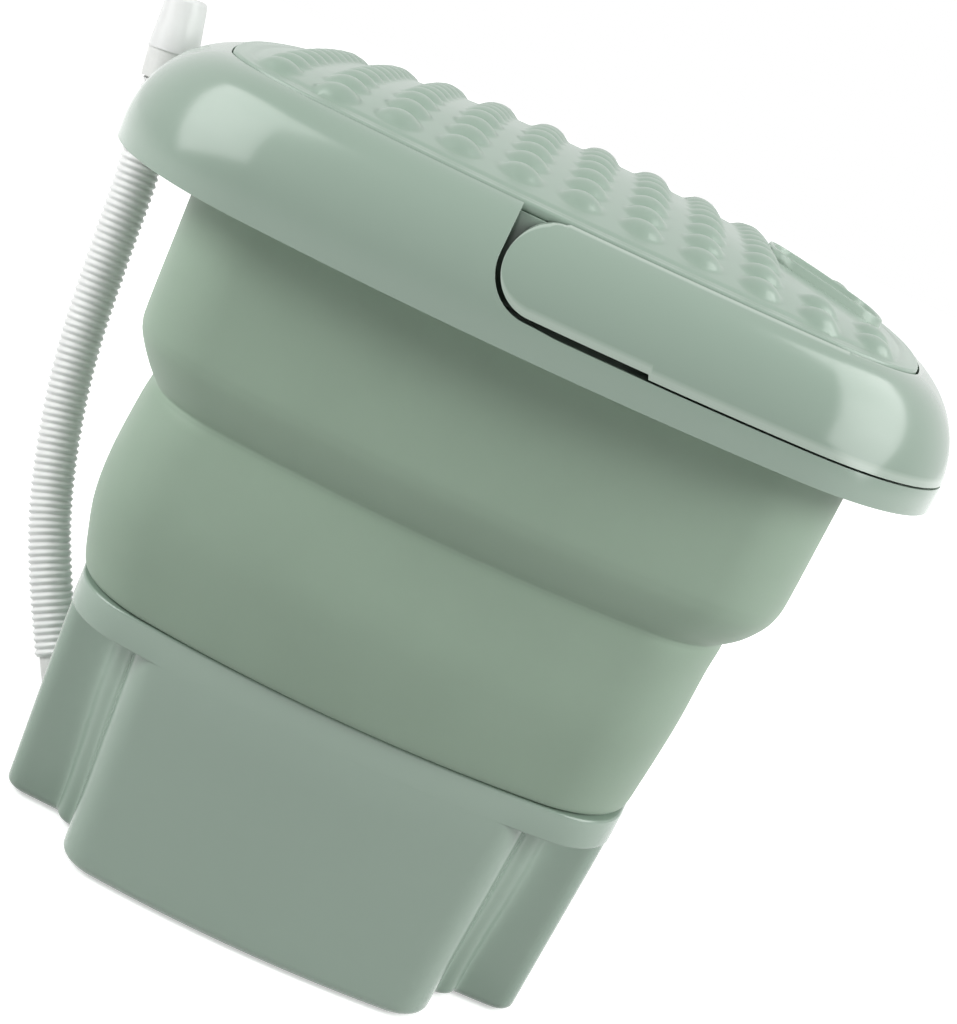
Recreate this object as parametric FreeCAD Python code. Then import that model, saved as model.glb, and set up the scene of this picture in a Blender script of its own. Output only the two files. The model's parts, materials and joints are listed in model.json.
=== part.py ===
"""Foldable washing machine: rigid base, soft two-tier tub, oval rim, handle, bumped lid, drain hose.

Millimetres, +Z up. The origin is on the surface that the feet stand on, below the middle of the tub.
+X is the side that the folded bail handle lies on, and -Y is the plain side.
"""

import FreeCAD
import Part
import math
import os

Vec = FreeCAD.Vector
UP = Vec(0, 0, 1)
BACK = Vec(0, 1, 0)

# Walls and general clearances
WALL = 3.0
SKIN = 4.0
RUNNING_GAP = 0.05
SEAT_GAP = 0.3
SWING_GAP = 2.0
LOCK_GAP = 0.1

# Plan ovals: angle of the flat front and side arcs
OVAL_FLAT = 12.0
FLANGE_FLAT = 10.0
PANEL_FLAT = 8.0
COLUMN_FLAT = 4.0

# Base: heights
FOOT_H = 2.5
COVER_T = 2.5
BASE_H = 123.0
FLANGE_H = 14.0

# Base: half-sizes of its plan at the bottom, and how far the walls lean out
PANEL_X = 93.0
PANEL_Y = 107.0
PANEL_CORNER = 18.0
LOBE_X = 104.0
LOBE_Y = 76.0
LOBE_CORNER = 7.0
COLUMN_X = 128.3
COLUMN_Y = 65.0
COLUMN_CORNER = 8.0
BASE_LEAN = 4.0
PANEL_LEAN = 7.6
BASE_ROUND = 8.0
ROUND_STEPS = 3
TIGHT_R = 1.0
FLANGE_X = 134.5
FLANGE_Y = 114.0
FLANGE_CORNER = 36.0
FOOT_R = 9.0
FOOT_X = 62.0
FOOT_Y = 74.0
BOSS_R = 5.0
BOSS_X = 78.0
BOSS_Y = 40.0
SCREW_R = 2.0
SCREW_HEAD_R = 3.6
SCREW_HEAD_H = 1.8
SCREW_L = 16.0

# Drive under the tub floor
DECK_HOLE_R = 40.0
MOUNT_R = 52.0
MOUNT_T = 4.0
MOUNT_SCREW_RING = 46.0
GEARBOX_R = 38.0
GEARBOX_H = 22.0
MOTOR_R = 30.0
MOTOR_H = 54.0
SHAFT_R = 6.0
BUSH_R = 10.0
SEAL_R = 12.0
SEAL_H = 3.0
HUB_R = 16.0
HUB_H = 9.0

# Tub floor and pulsator
FLOOR_T = 3.0
FLOOR_X = 128.5
FLOOR_Y = 109.0
FLOOR_LIP_H = 12.0
PULSATOR_R = 62.0
PULSATOR_T = 5.0
PULSATOR_GAP = 2.0
PULSATOR_CAP_R = 20.0
PULSATOR_CAP_H = 14.0
VANE_COUNT = 4
VANE_H = 12.0
VANE_R = 6.0

# Soft tub wall: outer half-sizes and heights of its two tiers
TUB_CORNER = 46.0
TUB_FOOT_X = 136.5
TUB_FOOT_Y = 117.0
TUB_BELLY_X = 141.4
TUB_BELLY_Y = 124.0
TUB_BELLY_Z = 172.0
NECK_X = 140.0
NECK_Y = 122.8
NECK_Z = 214.0
SHOULDER_RISE = 20.0
TIER_X = 153.7
TIER_Y = 133.0
CLAMP_H = 10.0
SHOULDER_STEPS = 4

# Rim
RIM_Z = 299.0
RIM_X = 190.0
RIM_Y = 152.0
RIM_CORNER = 87.0
RIM_PLATE_T = 3.0
BAND_H = 11.5
DOME_RISE = 7.0
DOME_H = 43.0
DOME_ROUND_X = 40.0
DOME_ROUND_Y = 28.0
DOME_STEPS = 6
DOME_SWEEP = 84.0
SEAT_X = 155.7
SEAT_Y = 125.3
SEAT_RISE = 46.4
MOUTH_X = 137.7
MOUTH_Y = 113.3
SEAT_DEPTH = 15.0
RIM_SCREW_IN = 7.0

# Bail handle
HANDLE_LIFT = 2.7
HANDLE_END_R = 17.2
HANDLE_GAP = 1.0
HANDLE_WEB = 6.0
HANDLE_STEP_X = 49.0
HANDLE_STEP = 1.8
PIN_R = 4.0
PIN_L = 17.0

# Lid
LID_T = 2.5
LID_RISE = 16.4
LID_BEAD_W = 3.5
LID_BEAD_H = 4.0
LID_SKIRT_H = 9.0
LID_FIT_GAP = 0.5
LID_RINGS = (1.0, 0.85, 0.65, 0.4, 0.2, 0.03)
BUMP_ROWS = 5
BUMP_ROW_PITCH = 25.5
BUMP_PITCH = 16.0
BUMP_R = 12.0
BUMP_SINK = 8.2
BUMP_MARGIN = 14.0
BUMP_CLEAR = 38.0
TAB_X = 112.0
TAB_HALF_L = 29.0
TAB_HALF_W = 28.0
TAB_CORNER = 14.0
TAB_WALL = 2.2
TAB_H = 3.8

# Drain: pipe inside the base, hose outside on the left
DRAIN_X = -88.0
DRAIN_Y = 10.0
DRAIN_Z = 24.0
PIPE_R = 8.5
PIPE_BORE = 6.0
GRILLE_R = 16.0
GRILLE_T = 2.0
HOSE_R = 10.6
HOSE_GROOVE_R = 9.4
HOSE_BORE = 7.2
HOSE_RIB_PITCH = 3.45
NOZZLE_L = 14.0
HOSE_POINTS = [
    (-139.5, 14.0, 37.5),
    (-160.5, 24.0, 71.5),
    (-178.5, 38.0, 109.0),
    (-193.0, 52.0, 163.0),
    (-198.5, 62.0, 218.0),
    (-201.0, 68.0, 267.0),
    (-207.5, 72.0, 321.0),
]
CUFF_R = 11.9
CUFF_L = 14.0
CAP_R = 12.4
CAP_TOP_R = 10.0
CAP_L = 27.0
CAP_ROUND = 3.0
CAP_PLUG_L = 10.0
CLIP_T = 2.2
CLIP_H = 9.0
CLIP_DOWN = 34.0
CLIP_REACH = 40.0
CLIP_ARM_W = 12.0
CLIP_OPEN = 2.0
CLIP_OPEN_TURN = 220.0

# Controls on the back of the base
BEZEL_W = 74.0
BEZEL_H = 34.0
BEZEL_T = 5.0
BEZEL_PROUD = 1.5
POST_R = 3.0
BEZEL_CORNER = 8.0
BEZEL_Z = 62.0
BUTTON_R = 7.0
BUTTON_PROUD = 2.5
BUTTON_L = 9.0
BUTTON_TRAVEL = 1.5
BUTTON_X = 20.0
BUTTON_STOP = 1.5
PILOT_R = 1.2
PILOT_L = 5.0
LENS_R = 2.5
BOARD_T = 1.6
BOARD_W = 60.0
BOARD_H = 26.0
INLET_Z = 22.0
INLET_R = 8.0
INLET_FLANGE_R = 11.0
INLET_FLANGE_T = 3.0
INLET_L = 16.0
INLET_SOCKET_R = 5.0

# Heights and places that follow from the sizes above
COVER_TOP = FOOT_H + COVER_T
DECK_Z = BASE_H - WALL
FLANGE_Z = BASE_H - FLANGE_H
FLOOR_TOP = BASE_H + FLOOR_T
HUB_TOP = BASE_H + HUB_H
PULSATOR_Z = HUB_TOP + PULSATOR_GAP
TIER_Z = NECK_Z + SHOULDER_RISE
BAND_TOP = RIM_Z + BAND_H
DOME_Z = RIM_Z + DOME_RISE
SEAT_TOP = RIM_Z + SEAT_RISE
LEDGE_Z = SEAT_TOP - SEAT_DEPTH
HANDLE_Z = BAND_TOP + HANDLE_LIFT
PIVOT_Z = HANDLE_Z + HANDLE_END_R
SEAT_WALL_X = SEAT_X + WALL
SEAT_WALL_Y = SEAT_Y + WALL
LID_EDGE_Z = SEAT_TOP + LID_BEAD_H
LID_TOP = LID_EDGE_Z + LID_RISE
HOSE_START = Vec(HOSE_POINTS[0])
HOSE_START_DIR = (Vec(HOSE_POINTS[1]) - HOSE_START).normalize()
HOSE_END = Vec(HOSE_POINTS[-1])
HOSE_END_DIR = (HOSE_END - Vec(HOSE_POINTS[-2])).normalize()
HOSE_KNEE = HOSE_START - HOSE_START_DIR * NOZZLE_L


def oval_radii(a, b, corner, flat):
    """Radii of the front and side arcs that join the corner arcs of an oval smoothly."""
    s = math.sin(math.radians(flat))
    c = math.cos(math.radians(flat))
    lean = 1 - c
    right_b = b - corner * (c - s)
    right_a = a - corner * (c - s)
    det = lean * lean - s * s
    front = (right_b * lean - right_a * s) / det
    side = (right_a * lean - right_b * s) / det
    return front, side


def oval(a, b, corner, z, flat=OVAL_FLAT):
    """Wire of eight tangent arcs, half-size a along X and b along Y, with the given corner radius."""
    s = math.sin(math.radians(flat))
    c = math.cos(math.radians(flat))
    front, side = oval_radii(a, b, corner, flat)
    front_y = b - front
    corner_x = (front - corner) * s
    corner_y = front_y + (front - corner) * c
    side_x = a - side
    half = math.sqrt(0.5)
    tip = (front * s, front_y + front * c)
    mid = (corner_x + corner * half, corner_y + corner * half)
    tail = (side_x + side * c, side * s)
    ring = [
        (0, b), tip, mid, tail,
        (a, 0), (tail[0], -tail[1]), (mid[0], -mid[1]), (tip[0], -tip[1]),
        (0, -b), (-tip[0], -tip[1]), (-mid[0], -mid[1]), (-tail[0], -tail[1]),
        (-a, 0), (-tail[0], tail[1]), (-mid[0], mid[1]), (-tip[0], tip[1]),
    ]
    points = [Vec(x, y, z) for x, y in ring]
    edges = []
    for start in range(1, 16, 2):
        middle = points[(start + 1) % 16]
        end = points[(start + 2) % 16]
        edges.append(Part.Arc(points[start], middle, end).toShape())
    return Part.Wire(edges)


def corner_place(a, b, corner, inset, flat=OVAL_FLAT):
    """Place in the middle of an oval's corner arc, moved in by inset."""
    front, side = oval_radii(a, b, corner, flat)
    turn = math.radians(flat)
    reach = (corner - inset) * math.sqrt(0.5)
    x = (front - corner) * math.sin(turn)
    y = b - front + (front - corner) * math.cos(turn)
    return x + reach, y + reach


def oval_depth(x, a, b, corner, flat=OVAL_FLAT):
    """Half-depth of an oval at a distance x from its middle, on its front or corner arcs."""
    front, side = oval_radii(a, b, corner, flat)
    turn = math.radians(flat)
    if abs(x) < front * math.sin(turn):
        return b - front + math.sqrt(front ** 2 - x ** 2)
    past = abs(x) - (front - corner) * math.sin(turn)
    middle = b - front + (front - corner) * math.cos(turn)
    return middle + math.sqrt(corner ** 2 - past ** 2)


def slab(a, b, corner, low, high, flat=OVAL_FLAT):
    """Upright oval block between two heights."""
    return Part.Face(oval(a, b, corner, low, flat)).extrude(UP * (high - low))


def stack(sections, corner, ruled=False, flat=OVAL_FLAT):
    """Solid through ovals given as (a, b, z)."""
    wires = [oval(a, b, corner, z, flat) for a, b, z in sections]
    return Part.makeLoft(wires, True, ruled)


def rod(radius, base, direction, length):
    """Cylinder from a base point along a direction."""
    return Part.makeCylinder(radius, length, Vec(base), Vec(direction))


def tube(outer, inner, base, direction, length):
    """Cylinder with a bore through it."""
    return rod(outer, base, direction, length).cut(rod(inner, base, direction, length))


def box(low, high):
    """Box between two corners."""
    size = [h - l for l, h in zip(low, high)]
    return Part.makeBox(size[0], size[1], size[2], Vec(low))


def at_corners(x, y):
    """The four places at plus and minus x and y."""
    return [(sx * x, sy * y) for sx in (-1, 1) for sy in (-1, 1)]


def save(name, shape):
    """Write one piece, or one group of like pieces, to its own file."""
    solids = shape if isinstance(shape, list) else [shape]
    clean = []
    for solid in solids:
        clean.extend(solid.removeSplitter().Solids)
    for solid in clean:
        if not solid.isValid():
            print("not valid:", name)
    whole = clean[0] if len(clean) == 1 else Part.makeCompound(clean)
    whole.exportStep(os.path.join("parts", name + ".step"))
    print(f"{name}: {len(clean)} solid(s), {sum(s.Volume for s in clean) / 1000:.2f} cm3")


def lean_at(z, lean=BASE_LEAN):
    """How far a wall of the base has leaned out at a height."""
    return lean * (z - FOOT_H) / (BASE_H - FOOT_H)


def base_block(grow, low, high, foot_round=0, inset=0):
    """The crossed plan of the base between two heights: moved out by grow, then in by inset with its
    corners kept, and rounded in at its foot."""
    plans = [
        (PANEL_X, PANEL_Y, PANEL_CORNER, PANEL_LEAN, PANEL_FLAT),
        (LOBE_X, LOBE_Y, LOBE_CORNER, BASE_LEAN, PANEL_FLAT),
        (COLUMN_X, COLUMN_Y, COLUMN_CORNER, BASE_LEAN, COLUMN_FLAT),
    ]
    levels = [(low, grow - inset)]
    if foot_round:
        turns = [math.radians(90 * step / ROUND_STEPS) for step in range(ROUND_STEPS + 1)]
        levels = [(low + foot_round * (1 - math.cos(t)), grow - foot_round * (1 - math.sin(t)))
                  for t in turns]
    levels.append((high, grow - inset))
    blocks = []
    for x, y, corner, lean_y, flat in plans:
        sections = [(x + out + lean_at(z), y + out + lean_at(z, lean_y), z) for z, out in levels]
        blocks.append(stack(sections, max(corner + grow, TIGHT_R), True, flat))
    return blocks[0].fuse(blocks[1:])


def drain_path(radius):
    """Solid along the drain: down from the deck, out through the wall, then up to the hose."""
    corner = Vec(DRAIN_X, DRAIN_Y, DRAIN_Z)
    knee = HOSE_KNEE
    legs = [
        rod(radius, corner, UP, BASE_H - DRAIN_Z),
        rod(radius, corner, knee - corner, (knee - corner).Length),
        rod(radius, knee, HOSE_START_DIR, NOZZLE_L),
        Part.makeSphere(radius, corner),
        Part.makeSphere(radius, knee),
    ]
    return legs[0].fuse(legs[1:])


def make_base():
    """Housing, bottom cover, feet and the screws that hold the cover."""
    shell = base_block(0, FOOT_H, BASE_H, BASE_ROUND).common(
        slab(FLANGE_X, FLANGE_Y, FLANGE_CORNER, FOOT_H, BASE_H, FLANGE_FLAT))
    shell = shell.fuse(slab(FLANGE_X, FLANGE_Y, FLANGE_CORNER, FLANGE_Z, BASE_H, FLANGE_FLAT))
    hollow = base_block(-WALL, FOOT_H, DECK_Z, BASE_ROUND).common(
        slab(FLANGE_X - WALL, FLANGE_Y - WALL, FLANGE_CORNER - WALL, FOOT_H, DECK_Z, FLANGE_FLAT))
    shell = shell.cut(hollow)
    for x, y in at_corners(BOSS_X, BOSS_Y):
        shell = shell.fuse(rod(BOSS_R, (x, y, COVER_TOP), UP, DECK_Z - COVER_TOP))
    holes = [rod(DECK_HOLE_R, (0, 0, DECK_Z), UP, WALL), drain_path(PIPE_R + LOCK_GAP)]
    for x, y in at_corners(BOSS_X, BOSS_Y):
        holes.append(rod(SCREW_R + LOCK_GAP, (x, y, COVER_TOP), UP, SCREW_L))
    holes.extend(control_holes())
    save("base_housing", shell.cut(holes))

    cover = base_block(-WALL, FOOT_H, COVER_TOP, inset=BASE_ROUND + LOCK_GAP)
    screws = []
    for x, y in at_corners(BOSS_X, BOSS_Y):
        cover = cover.cut(rod(SCREW_R + LOCK_GAP, (x, y, FOOT_H), UP, COVER_T))
        head = rod(SCREW_HEAD_R, (x, y, FOOT_H), -UP, SCREW_HEAD_H)
        screws.append(head.fuse(rod(SCREW_R, (x, y, FOOT_H), UP, SCREW_L)))
    save("bottom_cover", cover)
    save("bottom_screws", screws)
    feet = [rod(FOOT_R, (x, y, 0), UP, FOOT_H) for x, y in at_corners(FOOT_X, FOOT_Y)]
    save("rubber_feet", feet)


def make_drive():
    """Motor, gearbox and mount plate hung under the deck, with the shaft, its bush and its seal."""
    plate_z = DECK_Z - MOUNT_T
    gear_z = plate_z - GEARBOX_H
    bush_z = plate_z
    seal_z = HUB_TOP - SEAL_H
    places = [(MOUNT_SCREW_RING * math.cos(t), MOUNT_SCREW_RING * math.sin(t))
              for t in (math.radians(45 + 90 * k) for k in range(4))]

    plate = rod(MOUNT_R, (0, 0, plate_z), UP, MOUNT_T)
    plate = plate.cut(rod(BUSH_R + LOCK_GAP, (0, 0, plate_z), UP, MOUNT_T))
    screws = []
    for x, y in places:
        plate = plate.cut(rod(SCREW_R + LOCK_GAP, (x, y, plate_z), UP, MOUNT_T))
        head = rod(SCREW_HEAD_R, (x, y, plate_z), -UP, SCREW_HEAD_H)
        screws.append(head.fuse(rod(SCREW_R, (x, y, plate_z), UP, MOUNT_T)))
    save("motor_mount_plate", plate)
    save("mount_screws", screws)

    bore = rod(SHAFT_R + SEAT_GAP, (0, 0, gear_z), UP, GEARBOX_H)
    gearbox = rod(GEARBOX_R, (0, 0, gear_z), UP, GEARBOX_H)
    low_edges = [e for e in gearbox.Edges if abs(e.BoundBox.ZMax - gear_z) < LOCK_GAP]
    gearbox = gearbox.makeFillet(WALL, low_edges)
    save("gearbox_housing", gearbox.cut(bore))
    can = rod(MOTOR_R, (0, 0, gear_z - MOTOR_H), UP, MOTOR_H)
    can = can.makeFillet(WALL, [e for e in can.Edges if e.BoundBox.ZMax < gear_z - WALL and e.Closed])
    save("motor_can", can)

    shaft_low = gear_z + SEAT_GAP
    save("drive_shaft", rod(SHAFT_R, (0, 0, shaft_low), UP, PULSATOR_Z + PULSATOR_T - shaft_low))
    save("shaft_bush", tube(BUSH_R, SHAFT_R + RUNNING_GAP, (0, 0, bush_z), UP, seal_z - bush_z))
    save("shaft_seal", tube(SEAL_R, SHAFT_R + RUNNING_GAP, (0, 0, seal_z), UP, SEAL_H))


def make_floor():
    """Tub floor with its lip and hub, the drain grille, and the pulsator with its screw."""
    floor = slab(FLOOR_X, FLOOR_Y, TUB_CORNER, BASE_H, FLOOR_TOP + FLOOR_LIP_H)
    floor = floor.cut(slab(FLOOR_X - WALL, FLOOR_Y - WALL, TUB_CORNER - WALL,
                           FLOOR_TOP, FLOOR_TOP + FLOOR_LIP_H))
    floor = floor.fuse(rod(HUB_R, (0, 0, BASE_H), UP, HUB_H))
    seal_z = HUB_TOP - SEAL_H
    floor = floor.cut([
        rod(BUSH_R + LOCK_GAP, (0, 0, BASE_H), UP, HUB_H),
        rod(SEAL_R + LOCK_GAP, (0, 0, seal_z), UP, SEAL_H),
        rod(PIPE_BORE, (DRAIN_X, DRAIN_Y, BASE_H), UP, FLOOR_T),
    ])
    save("drum_floor", floor)

    grille = rod(GRILLE_R, (DRAIN_X, DRAIN_Y, FLOOR_TOP), UP, GRILLE_T)
    slots = []
    for row in range(-2, 3):
        y = DRAIN_Y + row * GRILLE_R / 3
        half = math.sqrt(GRILLE_R ** 2 - (y - DRAIN_Y) ** 2) - WALL
        slots.append(box((DRAIN_X - half, y - GRILLE_T / 2, FLOOR_TOP),
                         (DRAIN_X + half, y + GRILLE_T / 2, FLOOR_TOP + GRILLE_T)))
    save("drain_grille", grille.cut(slots))

    disc = rod(PULSATOR_R, (0, 0, PULSATOR_Z), UP, PULSATOR_T)
    cap = Part.makeCone(PULSATOR_CAP_R + WALL, PULSATOR_CAP_R - WALL, PULSATOR_CAP_H,
                        Vec(0, 0, PULSATOR_Z))
    vanes = []
    for k in range(VANE_COUNT):
        arm = rod(VANE_R, (0, 0, PULSATOR_Z + PULSATOR_T), Vec(1, 0, 0), PULSATOR_R - WALL - VANE_R)
        tip = Part.makeSphere(VANE_R, Vec(PULSATOR_R - WALL - VANE_R, 0, PULSATOR_Z + PULSATOR_T))
        arm = arm.fuse(tip).common(rod(PULSATOR_R, (0, 0, PULSATOR_Z), UP, PULSATOR_T + VANE_H))
        arm.rotate(Vec(0, 0, 0), UP, 360 * k / VANE_COUNT)
        vanes.append(arm)
    wheel = disc.fuse([cap] + vanes)
    screw_z = PULSATOR_Z + PULSATOR_CAP_H
    wheel = wheel.cut([
        rod(SHAFT_R + RUNNING_GAP, (0, 0, PULSATOR_Z), UP, PULSATOR_T),
        rod(SCREW_R + LOCK_GAP, (0, 0, PULSATOR_Z), UP, PULSATOR_CAP_H),
    ])
    save("pulsator", wheel)
    head = rod(SCREW_HEAD_R, (0, 0, screw_z), UP, SCREW_HEAD_H)
    shank = rod(SCREW_R, (0, 0, PULSATOR_Z + PULSATOR_T), UP, PULSATOR_CAP_H - PULSATOR_T)
    save("pulsator_screw", head.fuse(shank))


def tub_block(skin):
    """Solid inside of the soft wall's outer face, drawn in by the skin thickness."""
    low = [
        (TUB_FOOT_X, TUB_FOOT_Y, BASE_H),
        ((TUB_FOOT_X + 2 * TUB_BELLY_X) / 3, (TUB_FOOT_Y + 2 * TUB_BELLY_Y) / 3,
         (BASE_H + TUB_BELLY_Z) / 2),
        (TUB_BELLY_X, TUB_BELLY_Y, TUB_BELLY_Z),
        (NECK_X, NECK_Y, NECK_Z + skin),
    ]
    high = []
    for step in range(SHOULDER_STEPS + 1):
        angle = math.radians(90 * step / SHOULDER_STEPS)
        out = math.sin(angle)
        rise = 1 - math.cos(angle)
        high.append((NECK_X + (TIER_X - NECK_X) * out, NECK_Y + (TIER_Y - NECK_Y) * out,
                     NECK_Z + skin + SHOULDER_RISE * rise))
    tiers = []
    for sections in (low, high):
        inset = [(a - skin, b - skin, z) for a, b, z in sections]
        tiers.append(stack(inset, TUB_CORNER - skin))
    top = slab(TIER_X - skin, TIER_Y - skin, TUB_CORNER - skin, TIER_Z + skin, RIM_Z)
    return tiers[0].fuse(tiers[1]).fuse(top)


def make_tub():
    """Soft wall in two tiers, with the clamp rings that hold its foot and its top."""
    save("bellows", tub_block(0).cut(tub_block(SKIN)))
    low = slab(TUB_FOOT_X - SKIN - LOCK_GAP, TUB_FOOT_Y - SKIN - LOCK_GAP, TUB_CORNER - SKIN,
               BASE_H, BASE_H + CLAMP_H)
    low = low.cut(slab(FLOOR_X + LOCK_GAP, FLOOR_Y + LOCK_GAP, TUB_CORNER, BASE_H, BASE_H + CLAMP_H))
    save("bellows_lower_clamp", low)
    inner = TIER_X - SKIN - LOCK_GAP
    depth = TIER_Y - SKIN - LOCK_GAP
    high = slab(inner, depth, TUB_CORNER - SKIN, RIM_Z - CLAMP_H, RIM_Z)
    high = high.cut(slab(inner - WALL, depth - WALL, TUB_CORNER - SKIN - WALL, RIM_Z - CLAMP_H, RIM_Z))
    save("bellows_upper_clamp", high)


def rim_slab(a, b, low, high):
    """Upright block whose plan keeps the rim's oval at another size."""
    return slab(a, b, RIM_CORNER - RIM_X + a, low, high)


def rim_dome(inset):
    """Solid under the rim's rounded outer face, drawn in by inset."""
    wires = []
    for step in range(DOME_STEPS + 1):
        angle = math.radians(DOME_SWEEP * step / DOME_STEPS)
        a = RIM_X - inset - DOME_ROUND_X * (1 - math.cos(angle))
        b = RIM_Y - inset - DOME_ROUND_Y * (1 - math.cos(angle))
        wires.append(oval(a, b, RIM_CORNER - RIM_X + a, DOME_Z + (DOME_H - inset) * math.sin(angle)))
    return Part.makeLoft(wires, True, False).fuse(rim_slab(RIM_X - inset, RIM_Y - inset, RIM_Z, DOME_Z))


def side_box(x, low, high):
    """Large box on one side of the plane at x: the +X side, or the -X side where x is not above 0."""
    reach = 2 * RIM_X
    if x > 0:
        return box((x, -reach, low), (reach, reach, high))
    return box((-reach, -reach, low), (x, reach, high))


def pivot_rod(radius):
    """Rod along the handle's pivot axis, right through the rim."""
    return rod(radius, (0, -RIM_Y, PIVOT_Z), BACK, 2 * RIM_Y)


def make_rim():
    """Domed rim, the plate that closes it below, its screws, and the pins that the handle turns on."""
    room = HANDLE_END_R + SWING_GAP
    sky = 2 * RIM_Z
    left = rim_dome(0).common(side_box(0, RIM_Z, sky))
    left = left.cut([pivot_rod(room), box((-room, -RIM_Y, PIVOT_Z), (0, RIM_Y, sky))])
    shell = left.fuse([
        rim_slab(RIM_X, RIM_Y, RIM_Z, BAND_TOP),
        rim_slab(SEAT_WALL_X, SEAT_WALL_Y, RIM_Z, SEAT_TOP),
    ])
    wall = rim_slab(MOUTH_X + WALL, MOUTH_Y + WALL, RIM_Z, sky)
    seat = rim_slab(SEAT_WALL_X, SEAT_WALL_Y, RIM_Z, sky)
    hollows = [
        rim_slab(SEAT_X, SEAT_Y, LEDGE_Z, sky),
        rim_slab(SEAT_WALL_X + SEAT_GAP, SEAT_WALL_Y + SEAT_GAP, SEAT_TOP, sky),
        rim_slab(MOUTH_X, MOUTH_Y, RIM_Z, sky),
        rim_slab(RIM_X - WALL, RIM_Y - WALL, RIM_Z, BAND_TOP - WALL).cut(wall),
        rim_slab(SEAT_X, SEAT_Y, RIM_Z, LEDGE_Z - WALL).cut(wall),
        rim_dome(WALL).common(side_box(-room - WALL, RIM_Z, sky)).cut(seat),
        rim_slab(MOUTH_X + WALL, MOUTH_Y + WALL, RIM_Z, RIM_Z + RIM_PLATE_T),
        pivot_rod(PIN_R + RUNNING_GAP),
    ]
    posts = []
    plate = rim_slab(RIM_X - WALL - LOCK_GAP, RIM_Y - WALL - LOCK_GAP, RIM_Z, RIM_Z + RIM_PLATE_T)
    plate = plate.cut(rim_slab(MOUTH_X, MOUTH_Y, RIM_Z, RIM_Z + RIM_PLATE_T))
    screws = []
    for x, y in at_corners(*corner_place(RIM_X, RIM_Y, RIM_CORNER, RIM_SCREW_IN)):
        posts.append(tube(BOSS_R, SCREW_R + LOCK_GAP, (x, y, RIM_Z + RIM_PLATE_T), UP,
                          BAND_TOP - WALL - RIM_Z - RIM_PLATE_T))
        plate = plate.cut([
            rod(SCREW_R + LOCK_GAP, (x, y, RIM_Z), UP, RIM_PLATE_T),
            rod(SCREW_HEAD_R + LOCK_GAP, (x, y, RIM_Z), UP, SCREW_HEAD_H),
        ])
        head = rod(SCREW_HEAD_R, (x, y, RIM_Z), UP, SCREW_HEAD_H)
        screws.append(head.fuse(rod(SCREW_R, (x, y, RIM_Z), UP, BAND_H - WALL)))
    save("rim", shell.cut(hollows).fuse(posts))
    save("rim_underplate", plate)
    save("rim_screws", screws)
    pins = [rod(PIN_R, (0, side * SEAT_Y, PIVOT_Z), BACK * side, PIN_L) for side in (-1, 1)]
    save("handle_pivot_pins", pins)


def make_handle():
    """Bail handle: the right half of the rim's dome, with round ends on the pivot pins."""
    inner_x = SEAT_WALL_X + HANDLE_GAP
    inner_y = SEAT_WALL_Y + HANDLE_GAP
    sky = 2 * RIM_Z
    web = HANDLE_END_R + HANDLE_WEB
    reach = box((0, -RIM_Y, HANDLE_Z), (RIM_X, RIM_Y, sky)).fuse([
        pivot_rod(HANDLE_END_R),
        box((HANDLE_STEP_X, -RIM_Y, HANDLE_Z - HANDLE_STEP), (RIM_X, RIM_Y, sky)),
    ])
    bail = rim_dome(0).common(reach).cut(rim_slab(inner_x, inner_y, RIM_Z, sky))
    hollow = rim_dome(WALL).common(side_box(web, RIM_Z, sky))
    hollow = hollow.cut(rim_slab(inner_x + WALL, inner_y + WALL, RIM_Z, sky))
    bores = [rod(PIN_R + RUNNING_GAP, (0, side * SEAT_Y, PIVOT_Z), BACK * side, PIN_L + SEAT_GAP)
             for side in (-1, 1)]
    save("carry_handle", bail.cut([hollow] + bores))


def lid_share(x, y):
    """How far out a place on the lid lies: 0 in the middle and 1 on the edge."""
    away = math.hypot(x, y)
    if away < LOCK_GAP:
        return 0
    dx = abs(x) / away
    dy = abs(y) / away
    corner = RIM_CORNER - RIM_X + SEAT_X
    front, side = oval_radii(SEAT_X, SEAT_Y, corner, OVAL_FLAT)
    s = math.sin(math.radians(OVAL_FLAT))
    c = math.cos(math.radians(OVAL_FLAT))
    front_y = SEAT_Y - front
    side_x = SEAT_X - side
    middle = ((front - corner) * s, front_y + (front - corner) * c)
    radius = corner
    if dx * (front_y + front * c) < dy * front * s:
        middle = (0, front_y)
        radius = front
    elif dx * side * s > dy * (side_x + side * c):
        middle = (side_x, 0)
        radius = side
    along = dx * middle[0] + dy * middle[1]
    reach = along + math.sqrt(along ** 2 - middle[0] ** 2 - middle[1] ** 2 + radius ** 2)
    return away / reach


def lid_rise(x, y):
    """Height of the lid's dome above its edge."""
    return LID_RISE * (1 - lid_share(x, y) ** 2)


def lid_block(a, b, base):
    """Solid dome of the lid over an oval of half-size a and b, from a base height."""
    wires = []
    for share in LID_RINGS:
        x = a * share
        corner = (RIM_CORNER - RIM_X + a) * share
        wires.append(oval(x, b * share, corner, base + LID_RISE * (1 - share ** 2)))
    return Part.makeLoft(wires, True, False)


def bump_places():
    """Centres of the lid's bumps: rows that run front to back, left out beside the finger well."""
    places = []
    a = SEAT_X - BUMP_MARGIN
    b = SEAT_Y - BUMP_MARGIN
    for row in range(-BUMP_ROWS, BUMP_ROWS + 1):
        x = row * BUMP_ROW_PITCH
        reach = oval_depth(x, a, b, RIM_CORNER - RIM_X + a)
        gaps = round(2 * reach / BUMP_PITCH)
        for k in range(gaps + 1):
            y = reach * (2 * k / gaps - 1)
            in_well = x > TAB_X - TAB_HALF_L and abs(y) < TAB_HALF_W + BUMP_CLEAR
            if not in_well:
                places.append((x, y))
    return places


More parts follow.
